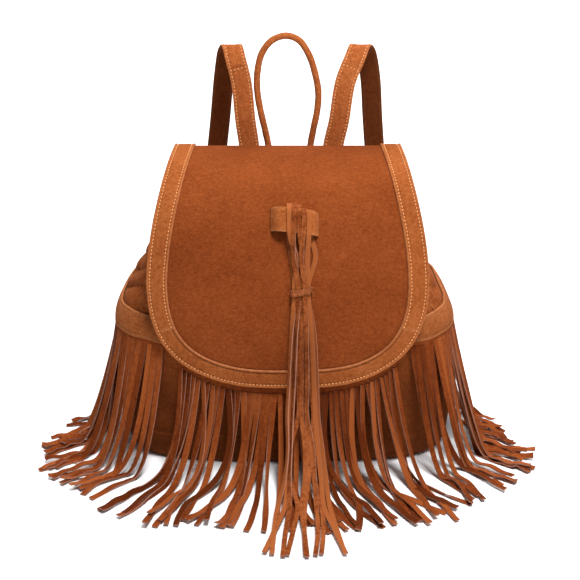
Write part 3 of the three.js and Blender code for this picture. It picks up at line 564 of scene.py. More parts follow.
def speckled(name, dark, light, scale, detail, roughness):
    """A material whose colour wanders between two, given in 0 to 255, with its shader and its noise."""
    material, tree, shader = new_material(name)
    here = tree.nodes.new("ShaderNodeTexCoord").outputs["Object"]
    noise = node_value(tree, "ShaderNodeTexNoise", Vector=here, Scale=scale, Detail=detail).outputs["Fac"]
    tree.links.new(mix_colours(tree, noise, linear(*dark), linear(*light)), shader.inputs["Base Color"])
    shader.inputs["Roughness"].default_value = roughness
    return material, shader, noise


board_paint, _, _ = speckled("fibre_board", (108, 94, 76), (166, 150, 126), 420, 4, 0.9)
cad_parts["base_board"].data.materials.clear()
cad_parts["base_board"].data.materials.append(board_paint)

# ---------------------------------------------------------------- the lining
# An inner bag of plain brown woven cloth, sewn in at the mouth and hanging loose inside the panels.
LINING_THICK = 0.0008
LINING_IN = -0.0042               # how far inside the panels' middle the cloth hangs
LINING_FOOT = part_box("lining")[0].z
LINING_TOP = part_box("lining")[1].z


def woven_cloth(name, dark, light, thread=0.0011):
    """Plain cloth with threads along two ways, which cross."""
    material, tree, shader = new_material(name)
    here = tree.nodes.new("ShaderNodeTexCoord").outputs["Object"]
    waves = []
    for turn in ((0.6, 0, 0), (0, 0.6, 1.5708)):
        turned = node_value(tree, "ShaderNodeMapping", Vector=here, Rotation=turn).outputs["Vector"]
        wave = node_value(tree, "ShaderNodeTexWave", Vector=turned, Scale=0.314 / thread, Distortion=1.2,
                          Detail=1)
        waves.append(wave.outputs["Fac"])
    weave = math_node(tree, "MULTIPLY", waves[0], waves[1])
    patches = node_value(tree, "ShaderNodeTexNoise", Vector=here, Scale=60, Detail=3).outputs["Fac"]
    share = math_node(tree, "MULTIPLY_ADD", weave, 0.6, math_node(tree, "MULTIPLY", patches, 0.4))
    tree.links.new(mix_colours(tree, share, dark, light), shader.inputs["Base Color"])
    bump = node_value(tree, "ShaderNodeBump", Height=weave, Strength=0.5, Distance=0.0004)
    tree.links.new(bump.outputs["Normal"], shader.inputs["Normal"])
    shader.inputs["Roughness"].default_value = 0.85
    shader.inputs["Specular IOR Level"].default_value = 0.2
    return material


lining_cloth = woven_cloth("lining_cloth", linear(62, 42, 30), linear(112, 82, 62))


def lining_mesh():
    """A cup with two walls, from the rim down, across the floor and back up inside."""
    angles = even_angles(240)
    heights = np.concatenate([np.linspace(LINING_TOP, 0.02, 52), [0.012, 0.008, LINING_FOOT + LINING_THICK]])
    loose = 0.0012 * np.sin(9 * np.radians(angles)[None, :] + 40 * heights[:, None])
    loose *= smoothstep(heights, LINING_TOP, 0.2)[:, None]
    grid = np.broadcast_to(heights[:, None], (len(heights), len(angles)))
    inset = LINING_IN - 0.002 * smoothstep(grid, 0.02, 0.006)
    outer = on_body(angles[None, :], grid, inset - np.abs(loose))
    inner = on_body(angles[None, :], grid, inset - np.abs(loose) - LINING_THICK)
    inner[..., 2] = np.maximum(inner[..., 2], LINING_FOOT + LINING_THICK)
    outer[-1, :, 2] = LINING_FOOT
    rings = [*outer[::-1], *inner]
    points = np.concatenate([*rings, [[0, 0, LINING_FOOT], [0, 0, LINING_FOOT + LINING_THICK]]])
    faces = ring_faces(len(rings), len(angles)) + centre_faces(len(rings), len(angles))
    return closed_mesh("cloth_lining", points, faces)


lining = link("cloth_lining", lining_mesh(), lining_cloth)
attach(lining, "root")
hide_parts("lining")

# ---------------------------------------------------------------- the waist band and the body's stitching
# A suede band with both edges turned in, sewn with tan thread round the front and both sides over the top of
# the side fringes. The body's seams and its hem have thicker, cream stitches. All sink into the suede.
BAND_THICK = 0.002
BAND_LIFT = BODY_SUEDE / 2 + 0.0006 + BAND_THICK / 2
STITCH_PITCH = 0.0032
STITCH_LENGTH = 0.0021
STITCH_THICK = 0.0011
band_suede = suede("band_suede", [(108, 53, 23), (137, 75, 38), (157, 94, 53), (175, 115, 73)])


def thread_material(name, dark, light):
    material, shader, _ = speckled(name, dark, light, 900, 2, 0.6)
    shader.inputs["Specular IOR Level"].default_value = 0.2
    return material


cream_thread = thread_material("cream_thread", (200, 124, 70), (236, 174, 118))
tan_thread = thread_material("tan_thread", (136, 78, 40), (178, 112, 66))
# A thread darkened with painted shade, for stitches on faces that stand in shadow.
painted_shade_thread = thread_material("painted_shade_thread", (78, 36, 16), (120, 62, 32))


def new_tree(name, inputs):
    """A geometry tree with one geometry in, one geometry out and the named inputs between."""
    tree = bpy.data.node_groups.new(name, "GeometryNodeTree")
    tree.interface.new_socket(name="Geometry", in_out="OUTPUT", socket_type="NodeSocketGeometry")
    tree.interface.new_socket(name="Geometry", in_out="INPUT", socket_type="NodeSocketGeometry")
    for label, kind in inputs:
        tree.interface.new_socket(name=label, in_out="INPUT", socket_type=kind)
    return tree, tree.nodes.new("NodeGroupInput"), tree.nodes.new("NodeGroupOutput")


def finish_tree(tree, geometry, material, group_out):
    """Makes the tree's copies real, gives them the material and puts them out."""
    real = node_value(tree, "GeometryNodeRealizeInstances", Geometry=geometry).outputs[0]
    painted = node_value(tree, "GeometryNodeSetMaterial", Geometry=real, Material=material)
    tree.links.new(painted.outputs[0], group_out.inputs[0])


def grown(name, guides, tree, settings, material):
    """Runs a geometry tree on the guide mesh and keeps its result as a plain mesh on an object of its own."""
    carrier = bpy.data.objects.new(name + "_guides", guides)
    bpy.context.scene.collection.objects.link(carrier)
    modifier = carrier.modifiers.new("tree", "NODES")
    modifier.node_group = tree
    for item in tree.interface.items_tree:
        if item.in_out == "INPUT" and item.name in settings:
            modifier[item.identifier] = settings[item.name]
    bpy.context.view_layer.update()
    depsgraph = bpy.context.evaluated_depsgraph_get()
    mesh = bpy.data.meshes.new_from_object(carrier.evaluated_get(depsgraph))
    bpy.data.objects.remove(carrier)
    mesh.name = name
    return link(name, mesh, material)


def guide_mesh(name, lines, **attributes):
    """One mesh of loose lines. Each attribute is a list with one array of values for each line."""
    mesh = bpy.data.meshes.new(name)
    starts = np.cumsum([0] + [len(line) for line in lines])
    edges = [(s + i, s + i + 1) for s, line in zip(starts, lines) for i in range(len(line) - 1)]
    mesh.from_pydata(np.concatenate(lines).tolist(), edges, [])
    for key, values in attributes.items():
        joined = np.concatenate(values).astype(np.float32)
        kind = "FLOAT_VECTOR" if joined.ndim == 2 else "FLOAT"
        field = "vector" if joined.ndim == 2 else "value"
        mesh.attributes.new(key, kind, "POINT").data.foreach_set(field, joined.ravel())
    return mesh


def stitch_tree():
    """Lays a row of short rounded stitches along every line."""
    tree, group_in, group_out = new_tree("stitch_rows", [
        ("Pitch", "NodeSocketFloat"), ("Length", "NodeSocketFloat"), ("Thickness", "NodeSocketFloat"),
        ("Material", "NodeSocketMaterial")])
    given = group_in.outputs
    curve = node_value(tree, "GeometryNodeMeshToCurve", Mesh=given["Geometry"]).outputs[0]
    spaced = node_value(tree, "GeometryNodeResampleCurve", mode="LENGTH", Curve=curve, Length=given["Pitch"])
    ball = node_value(tree, "GeometryNodeMeshUVSphere", Segments=6, Rings=5, Radius=0.5).outputs["Mesh"]
    sizes = node_value(tree, "ShaderNodeCombineXYZ", X=given["Thickness"], Y=given["Thickness"],
                       Z=given["Length"])
    stitch = node_value(tree, "GeometryNodeTransform", Geometry=ball, Scale=sizes.outputs[0])
    tangent = tree.nodes.new("GeometryNodeInputTangent").outputs[0]
    turned = node_value(tree, "FunctionNodeAlignRotationToVector", axis="Z", Vector=tangent)
    placed = node_value(tree, "GeometryNodeInstanceOnPoints", Points=spaced.outputs[0],
                        Instance=stitch.outputs[0], Rotation=turned.outputs[0])
    finish_tree(tree, placed.outputs[0], given["Material"], group_out)
    return tree


stitch_rows = stitch_tree()


def sew(name, lines, body, thread=cream_thread, pitch=STITCH_PITCH, length=STITCH_LENGTH,
        thick=STITCH_THICK):
    """Rows of stitches along the lines, as one piece, which moves with the body if one is named."""
    settings = {"Pitch": pitch, "Length": length, "Thickness": thick, "Material": thread}
    stitches = grown(name, guide_mesh(name, lines), stitch_rows, settings, thread)
    if body:
        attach(stitches, body)
    return stitches


band_ends = distance_round(np.array([LEFT_SEAM + 0.2, SEAM_ANGLE - 0.2]))
band_around = steps_between(*band_ends, 0.0026)
band_up = steps_between(BAND_BOTTOM, BAND_TOP, 0.0011)
BAND_STITCH_IN = 0.0026


def band_point(u, v, lift):
    bulge = 0.0008 * np.sin(math.pi * (v - BAND_BOTTOM) / (BAND_TOP - BAND_BOTTOM))
    waves = 0.0005 * np.sin(95 * u + 0.7) + 0.0004 * np.sin(210 * u)
    return on_body(angle_round(u), v + waves, lift + bulge)


def band_relief(u, v, near_u, near_v):
    return -0.0007 * np.exp(-((near_v - BAND_STITCH_IN) / 0.0008) ** 2)


waist_band = slab("suede_waist_band", band_point, band_around, band_up, BAND_THICK, band_suede,
                  lift=BAND_LIFT, relief=band_relief, cuts=(1, 1, 0, 0))
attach(waist_band, "root")
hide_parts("waist_band")

row = np.linspace(band_ends[0] + 0.002, band_ends[1] - 0.002, 420)
band_rows = [band_point(row, np.full(row.shape, height), BAND_LIFT + BAND_THICK / 2 - 0.0003)
             for height in (BAND_BOTTOM + BAND_STITCH_IN, BAND_TOP - BAND_STITCH_IN)]
sew("band_stitches", band_rows, "root", thread=tan_thread, thick=0.0008)

row = np.linspace(band_ends[0] + 0.004, band_ends[1] - 0.004, 700)
hem_height = np.full(row.shape, RIM_HEIGHT - HEM_DEEP + 0.002)
hem_row = on_body(angle_round(row), hem_height, BODY_SUEDE / 2 + 0.0009)
sew("mouth_hem_stitches", [hem_row], "root")

seam_rows = []
for at in (distance_round(LEFT_SEAM) + SEAM_STITCH_IN, distance_round(SEAM_ANGLE) - SEAM_STITCH_IN):
    for low, high in ((BODY_FOOT + 0.006, BAND_BOTTOM - 0.014), (BAND_TOP + 0.002, RIM_HEIGHT - 0.013)):
        heights = np.linspace(low, high, 90)
        seam_rows.append(on_body(angle_round(np.full(90, at)), heights, BODY_SUEDE / 2 - 0.0005))
for at in (back_ends[0] + SEAM_STITCH_IN, back_ends[1] - SEAM_STITCH_IN):
    heights = np.linspace(BODY_FOOT + 0.006, BACK_HEIGHT - 0.006, 150)
    seam_rows.append(on_back(np.full(150, at), heights, BODY_SUEDE / 2 + 0.0001))
sew("body_seam_stitches", seam_rows, "root")

# ---------------------------------------------------------------- the side fringes
# A comb of suede on each side, its uncut top sewn in under the band. The strips are cut by hand, fall in a
# loose slant, turn out along the ground and cross each other there.
STRIP_WIDTH = 0.0053
STRIP_THICK = 0.0012
HEADER_HEIGHT = 0.012
FRINGE_FRONT_ANGLE = -55.0
SIDE_STRIPS = 31
# the ways that the strips of a side fringe run out, in degrees, and how far, from the first strip to the last
SIDE_FAN = ([0, 0.3, 0.65, 1], [-43, -35, -35, -47])
SIDE_REACH = ([0, 0.25, 0.5, 1], [0.086, 0.085, 0.081, 0.060])
SIDE_HEADER = 0.006
fringe_suede = suede("fringe_suede", [(83, 34, 10), (114, 52, 20), (142, 73, 34), (150, 82, 44)],
                     nap=(260, 260, 90), mottle=0.8, wear=0.25)


def strip_tree():
    """Turns every line into a flat strip whose broad side faces along the line's "face" values."""
    tree, group_in, group_out = new_tree("cut_strips", [
        ("Width", "NodeSocketFloat"), ("Thickness", "NodeSocketFloat"), ("Material", "NodeSocketMaterial")])
    given = group_in.outputs

    def named(label, kind):
        node = node_value(tree, "GeometryNodeInputNamedAttribute", data_type=kind, Name=label)
        return node.outputs["Attribute"]

    curve = node_value(tree, "GeometryNodeMeshToCurve", Mesh=given["Geometry"]).outputs[0]
    facing = node_value(tree, "GeometryNodeSetCurveNormal", mode="FREE", Curve=curve,
                        Normal=named("face", "FLOAT_VECTOR"))
    section = node_value(tree, "GeometryNodeCurvePrimitiveQuadrilateral", Width=given["Thickness"],
                         Height=given["Width"])
    swept = node_value(tree, "GeometryNodeCurveToMesh", Curve=facing.outputs[0],
                       Profile_Curve=section.outputs[0], Scale=named("wide", "FLOAT"), Fill_Caps=True)
    # its narrow sides are raw cuts
    along = node_value(tree, "ShaderNodeVectorMath", operation="DOT_PRODUCT")
    tree.links.new(tree.nodes.new("GeometryNodeInputNormal").outputs["Normal"], along.inputs[0])
    tree.links.new(named("face", "FLOAT_VECTOR"), along.inputs[1])
    flat = math_node(tree, "ABSOLUTE", along.outputs["Value"], 0)
    sideways = math_node(tree, "LESS_THAN", flat, 0.6)
    stored = node_value(tree, "GeometryNodeStoreNamedAttribute", data_type="FLOAT", domain="FACE",
                        Name="cut", Geometry=swept.outputs[0], Value=sideways)
    finish_tree(tree, stored.outputs[0], given["Material"], group_out)
    return tree


cut_strips = strip_tree()


def unit(vectors):
    return vectors / np.linalg.norm(vectors, axis=-1, keepdims=True)


def tangents(line):
    return unit(np.gradient(line, axis=0))


def turned_face(line, face, twist):
    """The way each point's broad side faces: square to the line, and turned about it by the twist."""
    along = tangents(line)
    face = unit(face - along * np.sum(face * along, axis=-1, keepdims=True))
    across = np.cross(along, face)
    return face * np.cos(twist)[:, None] + across * np.sin(twist)[:, None]


def lifted_off_floor(line, face, wide, width, thick):
    """Raises the points where a tilted strip would dip into the floor."""
    across = np.cross(tangents(line), face)
    dip = wide * (width / 2 * np.abs(across[:, 2]) + thick / 2 * np.abs(face[:, 2])) + 0.0002
    line = line.copy()
    line[:, 2] = np.maximum(line[:, 2], dip)
    return line


FALL_STEPS = 34
FALL_SHARE = 0.62                 # share of a strip's length in the fall, before it runs along the ground


def falling_strip(draw, top, away, out, reach, layer, feet):
    """One strip of a fringe: down from its top, out in a loose curve and along the ground. away is the way
    its header faces, out the way it runs on the ground, layer how many strips it rests on there, and feet the
    least and most share of its reach at which it starts to turn out."""
    t = np.linspace(0, 1, FALL_STEPS)
    rest = layer * STRIP_THICK * 1.15
    foot = draw.uniform(*feet)
    landing = draw.uniform(0.44, 0.58)
    fall = np.clip(t / FALL_SHARE, 0, 1)
    run = np.clip((t - FALL_SHARE) / (1 - FALL_SHARE), 0, 1)
    distance = reach * (2 * fall * (1 - fall) * foot + fall**2 * landing + (1 - landing) * run)
    height = (1 - fall) ** 2 * (top[2] - rest) + rest
    side = np.array([-out[1], out[0], 0.0])
    sway = draw.normal(0, 0.0034) * np.sin(math.pi * t) + draw.normal(0, 0.0026) * np.sin(2 * math.pi * t)
    drift = draw.normal(0, 0.011) * t**2.5
    line = np.stack([top[0] + out[0] * distance, top[1] + out[1] * distance, height], -1)
    line += side * (sway + drift)[:, None]
    curl = draw.uniform(0, 0.004) if draw.random() < 0.35 else 0.0
    line[:, 2] += curl * run**3 + 0.0015 * np.sin(math.pi * run * draw.uniform(1, 2.4)) ** 2
    blend = smoothstep(t, 0.1, 0.6)[:, None]
    face = unit(away * (1 - blend) + (np.array([0, 0, 1.0]) + 0.15 * out) * blend)
    twist = draw.normal(0, 0.44) * np.sin(math.pi * np.clip(t / 0.8, 0, 1)) + draw.normal(0, 0.14) * run
    if draw.random() < 0.13:
        turn = np.sign(draw.normal()) * draw.uniform(0.9, 1.35)
        twist = twist + turn * smoothstep(t, 0.2, 0.5) * smoothstep(t, 0.98, 0.66)
    wide = draw.uniform(0.78, 1.08) * (1 + 0.06 * np.sin(9 * t + draw.uniform(0, 6)))
    face = turned_face(line, face, twist)
    line = lifted_off_floor(line, face, wide, STRIP_WIDTH, STRIP_THICK)
    tone = draw.normal(0, 0.6) + 0.5 * np.sin(6 * t + draw.uniform(0, 6))
    return line, face, wide, tone


def comb(name, strips, body, replaced):
    """The strips of one fringe as one piece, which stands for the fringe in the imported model."""
    lines, faces, wides, tones = zip(*strips)
    guides = guide_mesh(name, lines, face=faces, wide=wides, tone=tones)
    settings = {"Width": STRIP_WIDTH, "Thickness": STRIP_THICK, "Material": fringe_suede}
    piece = grown(name, guides, cut_strips, settings, fringe_suede)
    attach(piece, body)
    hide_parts(replaced)


def between(first, last, share):
    return first + (last - first) * share


def header_edge(draw, count):
    """How much longer or shorter the uncut top is at each strip."""
    return draw.normal(0, 0.0016, count + 1)


def side_fringe(side_name, side, seed):
    draw = np.random.default_rng(seed)
    ends = distance_round(np.array([FRINGE_FRONT_ANGLE, SEAM_ANGLE - 1]))
    lift = BODY_SUEDE / 2 + 0.0006 + STRIP_THICK / 2
    rough = header_edge(draw, SIDE_STRIPS)
    spots = np.linspace(0, 1, SIDE_STRIPS + 1)

    def angle_of(u):
        angle = angle_round(u)
        return angle if side > 0 else -180 - angle

    def header_point(u, v, up):
        share = (u - ends[0]) / (ends[1] - ends[0])
        low = BAND_BOTTOM - SIDE_HEADER + np.interp(share, spots, rough)
        height = low + (BAND_BOTTOM + 0.001 - low) * v
        return on_body(angle_of(u), height, up + lift)

    across = steps_between(*ends, 0.002)
    top = slab(f"side_fringe_{side_name}_header", header_point, across, np.linspace(0, 1, 8), STRIP_THICK,
               fringe_suede)
    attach(top, "root")
    strips = []
    for i in range(SIDE_STRIPS):
        share = (i + 0.5) / SIDE_STRIPS
        u = between(*ends, share)
        angle = float(angle_of(u))
        start = on_body(angle, BAND_BOTTOM - SIDE_HEADER + 0.003, lift + 0.0001)
        _, _, out_x, out_y = plan_outline(angle, BAND_BOTTOM)
        away = np.array([float(out_x), float(out_y), 0.12])
        fan = math.radians(np.interp(share, *SIDE_FAN) + draw.normal(0, 6))
        out = np.array([side * math.cos(fan), math.sin(fan), 0.0])
        reach = np.interp(share, *SIDE_REACH) * draw.uniform(0.9, 1.05)
        strips.append(falling_strip(draw, start, away, out, reach, 0.55 + i % 3, (0.24, 0.36)))
    comb(f"side_fringe_{side_name}_strips", strips, "root", f"side_fringe_{side_name}")


side_fringe("left", -1, 11)
side_fringe("right", 1, 23)

# ---------------------------------------------------------------- the eyelets
# Ten antique brass eyelets, pressed through the pleated suede and the lining below the mouth: each is a
# barrel with a rounded flange outside and a flat one inside.
EYELET_HEIGHT = (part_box("eyelet_5")[0].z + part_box("eyelet_5")[1].z) / 2
EYELET_SPREAD = (15, 42, 72, 102, 138)    # degrees from the middle of the front, on both sides
EYELET_ANGLES = [-90 - a for a in reversed(EYELET_SPREAD)] + [-90 + a for a in EYELET_SPREAD]
EYELET_HOLE = 0.003

antique_brass, brass_shader, smudge = speckled("antique_brass", (120, 88, 46), (196, 156, 92), 220, 4, 0.3)
brass_tree = antique_brass.node_tree
brass_rough = math_node(brass_tree, "MULTIPLY_ADD", smudge, 0.25, 0.22)
brass_tree.links.new(brass_rough, brass_shader.inputs["Roughness"])
brass_shader.inputs["Metallic"].default_value = 1.0


def turned_profile(profile, sides=28):
    """The points and faces of a closed profile of radius and height turned about the +Z axis."""
    radius, height = np.array(profile, float).T[:, :, None]
    turns = np.arange(sides) * 2 * math.pi / sides
    points = np.stack([radius * np.cos(turns), radius * np.sin(turns), height + 0 * turns], -1)
    return points.reshape(-1, 3), ring_faces(len(profile), sides, closed=True)


def eyelet_mesh():
    outside = BODY_SUEDE / 2 + 0.0003
    inside = -(BODY_SUEDE / 2 + 0.0045)
    rounded = [(0.0012 - 0.0012 * math.cos(a), outside + 0.0012 * math.sin(a) * 1.1)
               for a in np.linspace(0, math.pi, 9)]
    profile = [(0, inside - 0.0008), (0.0024, inside - 0.0008), (0.0024, inside), (0.0008, inside),
               (0.0008, outside - 0.0004), (0.0025, outside - 0.0004), *rounded[::-1]]
    shape, shape_faces = turned_profile([(EYELET_HOLE + out, up) for out, up in profile])
    points = []
    faces = []
    for angle in EYELET_ANGLES:
        middle = on_body(angle, EYELET_HEIGHT)
        _, _, out_x, out_y = plan_outline(angle, EYELET_HEIGHT)
        out = Vector((float(out_x), float(out_y), 0.0))
        turn = np.array(out.to_track_quat("Z", "Y").to_matrix())
        start = len(points) * len(shape)
        points.append(shape @ turn.T + middle)
        faces += [tuple(start + i for i in face) for face in shape_faces]
    return closed_mesh("brass_eyelets", np.concatenate(points), faces)


eyelets = link("brass_eyelets", eyelet_mesh(), antique_brass)
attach(eyelets, "root")
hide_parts(*[f"eyelet_{i + 1}" for i in range(10)])

# ---------------------------------------------------------------- the drawstring
# A twisted brown cotton cord, 3 mm thick. It runs in and out through the eyelets all round the mouth, and its
# two knotted tails hang down in front of the body, under the flap.
CORD_RADIUS = 0.0015
CORD_TWIST = 0.0085               # length of one full turn of its three strands


def mixed(t, start, end, first, last):
    """From the first value at the start to the last one at the end, and on past both."""
    return ((end - t) * first + (t - start) * last) / (end - start)


def read_off(at, run, values):
    """The values along a line, read off at distances along it."""
    return np.stack([np.interp(at, run, column) for column in values.T], -1)


def smooth_line(points, pitch):
    """Points at an even pitch on a smooth curve through the given ones."""
    points = np.asarray(points, float)
    points = np.concatenate([[2 * points[0] - points[1]], points, [2 * points[-1] - points[-2]]])
    gaps = np.maximum(np.linalg.norm(np.diff(points, axis=0), axis=1), 1e-7)
    knots = np.concatenate([[0], np.cumsum(gaps**0.5)])
    dense = []
    for i in range(1, len(points) - 2):
        k0, k1, k2, k3 = knots[i - 1:i + 3]
        p0, p1, p2, p3 = points[i - 1:i + 3]
        t = np.linspace(k1, k2, 16, endpoint=i == len(points) - 3)[:, None]
        a1, a2, a3 = mixed(t, k0, k1, p0, p1), mixed(t, k1, k2, p1, p2), mixed(t, k2, k3, p2, p3)
        b1, b2 = mixed(t, k0, k2, a1, a2), mixed(t, k1, k3, a2, a3)
        dense.append(mixed(t, k1, k2, b1, b2))
    dense = np.concatenate(dense)
    run = distance_along(dense)
    even = np.linspace(0, run[-1], max(4, int(round(run[-1] / pitch)) + 1))
    return read_off(even, run, dense)


def tube(name, line, radius, sides, upwards, material):
    """A closed tube along a line. radius(run, turn) gives the two radii of its oval section, from the
    distance run and the angle round it, as a grid."""
    along = tangents(line)
    run = distance_along(line)
    across = unit(np.cross(along, np.broadcast_to(np.asarray(upwards, float), along.shape)))
    for i in range(1, len(across)):
        across[i] = unit(across[i - 1] - along[i] * np.dot(across[i - 1], along[i]))
    face = np.cross(across, along)
    turn = np.arange(sides) * 2 * math.pi / sides
    wide, deep = radius(run[:, None], turn[None, :])
    ring = (across[:, None, :] * (wide * np.cos(turn))[..., None]
            + face[:, None, :] * (deep * np.sin(turn))[..., None])
    points = (line[:, None, :] + ring).reshape(-1, 3)
    faces = ring_faces(len(line), sides)
    faces.append(tuple(range(sides))[::-1])
    faces.append(tuple((len(line) - 1) * sides + i for i in range(sides)))
    return link(name, closed_mesh(name, points, faces), material)


cord_paint, cord_shader, cord_noise = speckled("cotton_cord", (84, 54, 34), (140, 98, 66), 1300, 3, 0.85)
cord_tree = cord_paint.node_tree
cord_bump = node_value(cord_tree, "ShaderNodeBump", Height=cord_noise, Strength=0.5, Distance=0.0003)
cord_tree.links.new(cord_bump.outputs["Normal"], cord_shader.inputs["Normal"])


def fold_angle(angle):
    """The same direction, brought into the range that distances round the body are measured in."""
    return np.where(angle > 90, angle - 360, angle)


def drawstring_route():
    """In at one eyelet and out at the next, all round the mouth, between the two tails in front."""
    inside = -(BODY_SUEDE / 2 + 0.0068)
    outside = BODY_SUEDE / 2 + 0.0044

    def at(angle, lift):
        return on_body(fold_angle(angle), EYELET_HEIGHT, lift)

    ordered = [-90 + a for a in EYELET_SPREAD] + [270 - a for a in reversed(EYELET_SPREAD)]
    x = at(ordered[0], outside)[0]
    tail = [[x * 0.6, -0.070, 0.178], [x * 0.75, -0.066, 0.196], [x * 0.9, -0.058, 0.218]]
    points = list(tail)
    for i, angle in enumerate(ordered):
        enter, leave = (outside, inside) if i % 2 == 0 else (inside, outside)
        points += [at(angle, enter), at(angle, leave)]
        if i < len(ordered) - 1:
            points.append(at((angle + ordered[i + 1]) / 2, leave))
    points += [[-x, y, z] for x, y, z in reversed(tail)]
    return smooth_line(points, 0.0009)


def twisted(run, turn):
    lobes = np.abs(np.cos(1.5 * (turn - 2 * math.pi * run / CORD_TWIST)))
    size = CORD_RADIUS * (0.72 + 0.3 * lobes**0.6)
    return size, size


drawstring_line = drawstring_route()
drawstring = tube("cotton_drawstring", drawstring_line, twisted, 12, (0, 0, 1), cord_paint)
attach(drawstring, "root")
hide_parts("drawstring")


def knot(name, place):
    """A small overhand knot at the end of a tail: a cord wound round itself."""
    t = np.linspace(0, 2 * math.pi, 90)
    size = 0.0021
    line = np.stack([size * (np.sin(t) + 1.2 * np.sin(2 * t)) * 0.8,
                     size * (np.cos(t) - 1.2 * np.cos(2 * t)) * 0.7,
                     -size * 1.1 * np.sin(3 * t)], -1)
    piece = tube(name, line + np.asarray(place), twisted, 10, (0.2, 0.3, 1), cord_paint)
    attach(piece, "root")


knot("drawstring_knot_right", drawstring_line[0] + [0, 0, -0.001])
knot("drawstring_knot_left", drawstring_line[-1] + [0, 0, -0.001])

# ---------------------------------------------------------------- the snap's socket
# Half of a magnetic snap: a round brass cup riveted through the front panel, behind the flap's lower edge.
SOCKET_LOW, SOCKET_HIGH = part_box("snap_socket")
SNAP_RADIUS = (SOCKET_HIGH.x - SOCKET_LOW.x) / 2
SNAP_HEIGHT = (SOCKET_LOW.z + SOCKET_HIGH.z) / 2


def snap_half(name, front, back, step, body):
    """A turned brass disc that faces the front, with a rounded rim. Its middle is sunk in by the step, or
    raised where the step is negative. Its profile also closes on itself, as a wall inside the disc."""
    deep = back - front
    profile = [(0.93, 0.0), (1.0, deep * 0.25), (1.0, deep * 0.7), (0.96, deep * 0.92), (0.88, deep),
               (0.62, deep), (0.55, deep - step), (0.2, deep - step)]
    sides = 36
    points, faces = turned_profile([(SNAP_RADIUS * share, up) for share, up in profile], sides)
    points = np.concatenate([points, [[0, 0, 0.0], [0, 0, deep - step]]])
    faces += centre_faces(len(profile), sides)
    placed = np.stack([points[:, 0], back - points[:, 2], SNAP_HEIGHT + points[:, 1]], -1)
    piece = link(name, closed_mesh(name, placed, faces), antique_brass)
    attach(piece, body)
    return piece


socket = snap_half("brass_snap_socket", SOCKET_LOW.y, SOCKET_HIGH.y + 0.0016, 0.0007, "root")
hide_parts("snap_socket")

# ---------------------------------------------------------------- the handle and the shoulder straps
# The handle is a strip of suede rolled into a cord and pressed flat at its ends. The straps are two layers of
# suede sewn together along both edges. All four ends are sewn to the back under one stitched patch.
HANDLE_RADIUS = 0.003
STRAP_WIDTH = 0.0185
STRAP_THICK = 0.0024
BEHIND = BODY_SUEDE / 2 + 0.0003 + STRAP_THICK / 2
SEWN_LOW = 0.228                  # all four are sewn down between these two heights
SEWN_HIGH = 0.244
SEWN_X = {"left": -0.035, "right": 0.041}     # where each strap is sewn to the back, across the bag
HANDLE_X = {"left": -0.017, "right": 0.020}   # and where the handle's two ends are
strap_suede = suede("strap_suede", [(114, 55, 24), (153, 82, 41), (183, 107, 59), (200, 127, 80)],
                    nap=(420, 420, 160), mottle=0.9)


def behind(x, height, lift=BEHIND):
    """A point on the back of the body, by its place across the bag."""
    x, height, lift = np.broadcast_arrays(np.asarray(x, float), height, lift)
    plan = body_plan(height)
    bulge = np.ones(x.shape)
    for _ in range(12):
        share = np.abs(x) / (plan[..., 0] * narrowing(bulge))
        bulge = (1 - share**BACK_ROUNDNESS) ** (1 / BACK_ROUNDNESS)
    return np.stack([x, plan[..., 2] + plan[..., 1] * bulge + lift, height], -1)


HANDLE_ROUTE = [
    behind(HANDLE_X["left"], SEWN_LOW), behind(HANDLE_X["left"], SEWN_HIGH),
    (-0.0173, 0.0515, 0.262), (-0.0205, 0.0538, 0.279), (-0.0245, 0.057, 0.296), (-0.0275, 0.0603, 0.314),
    (-0.0276, 0.063, 0.330), (-0.0235, 0.0665, 0.3485), (-0.014, 0.0686, 0.3605), (-0.0015, 0.0694, 0.3645),
    (0.010, 0.0686, 0.3605), (0.0188, 0.0663, 0.348), (0.0242, 0.0635, 0.3325), (0.0276, 0.0603, 0.314),
    (0.0266, 0.0572, 0.297), (0.0232, 0.0542, 0.280), (0.0202, 0.0515, 0.262),
    behind(HANDLE_X["right"], SEWN_HIGH), behind(HANDLE_X["right"], SEWN_LOW),
]
handle_line = smooth_line(HANDLE_ROUTE, 0.0016)
handle_length = distance_along(handle_line)[-1]


def rolled(run, turn):
    """Round, with the ridge where the rolled strip's edge is glued down, and pressed flat near both ends."""
    from_end = np.minimum(run, handle_length - run)
    flat = 1 - smoothstep(from_end, 0.018, 0.040)
    ridge = 1 + 0.10 * np.exp(-((np.cos((turn - 3.9) / 2)) ** 2) * 24) + 0.02 * np.sin(run * 420 + 2 * turn)
    wide = (HANDLE_RADIUS * (1 - flat) + 0.0042 * flat) * ridge
    deep = (HANDLE_RADIUS * (1 - flat) + STRAP_THICK / 2 * flat) * ridge
    return wide, deep


handle = tube("rolled_handle", handle_line, rolled, 20, (0, 1, 0), strap_suede)
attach(handle, "root")
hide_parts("handle")


SIDEWAYS = np.array([1.0, 0.0, 0.0])


def ribbon_place(line):
    """A place on a flat strap from its distance along, its distance across and its lift, and its length."""
    run = distance_along(line)
    along = tangents(line)
    across = unit(SIDEWAYS - along * (along @ SIDEWAYS)[:, None])
    face = np.cross(across, along)

    def place(u, v, lift):
        u, v, lift = np.broadcast_arrays(u, v, lift)
        return (read_off(u, run, line) + read_off(u, run, across) * v[..., None]
                + read_off(u, run, face) * lift[..., None])

    return place, run[-1]


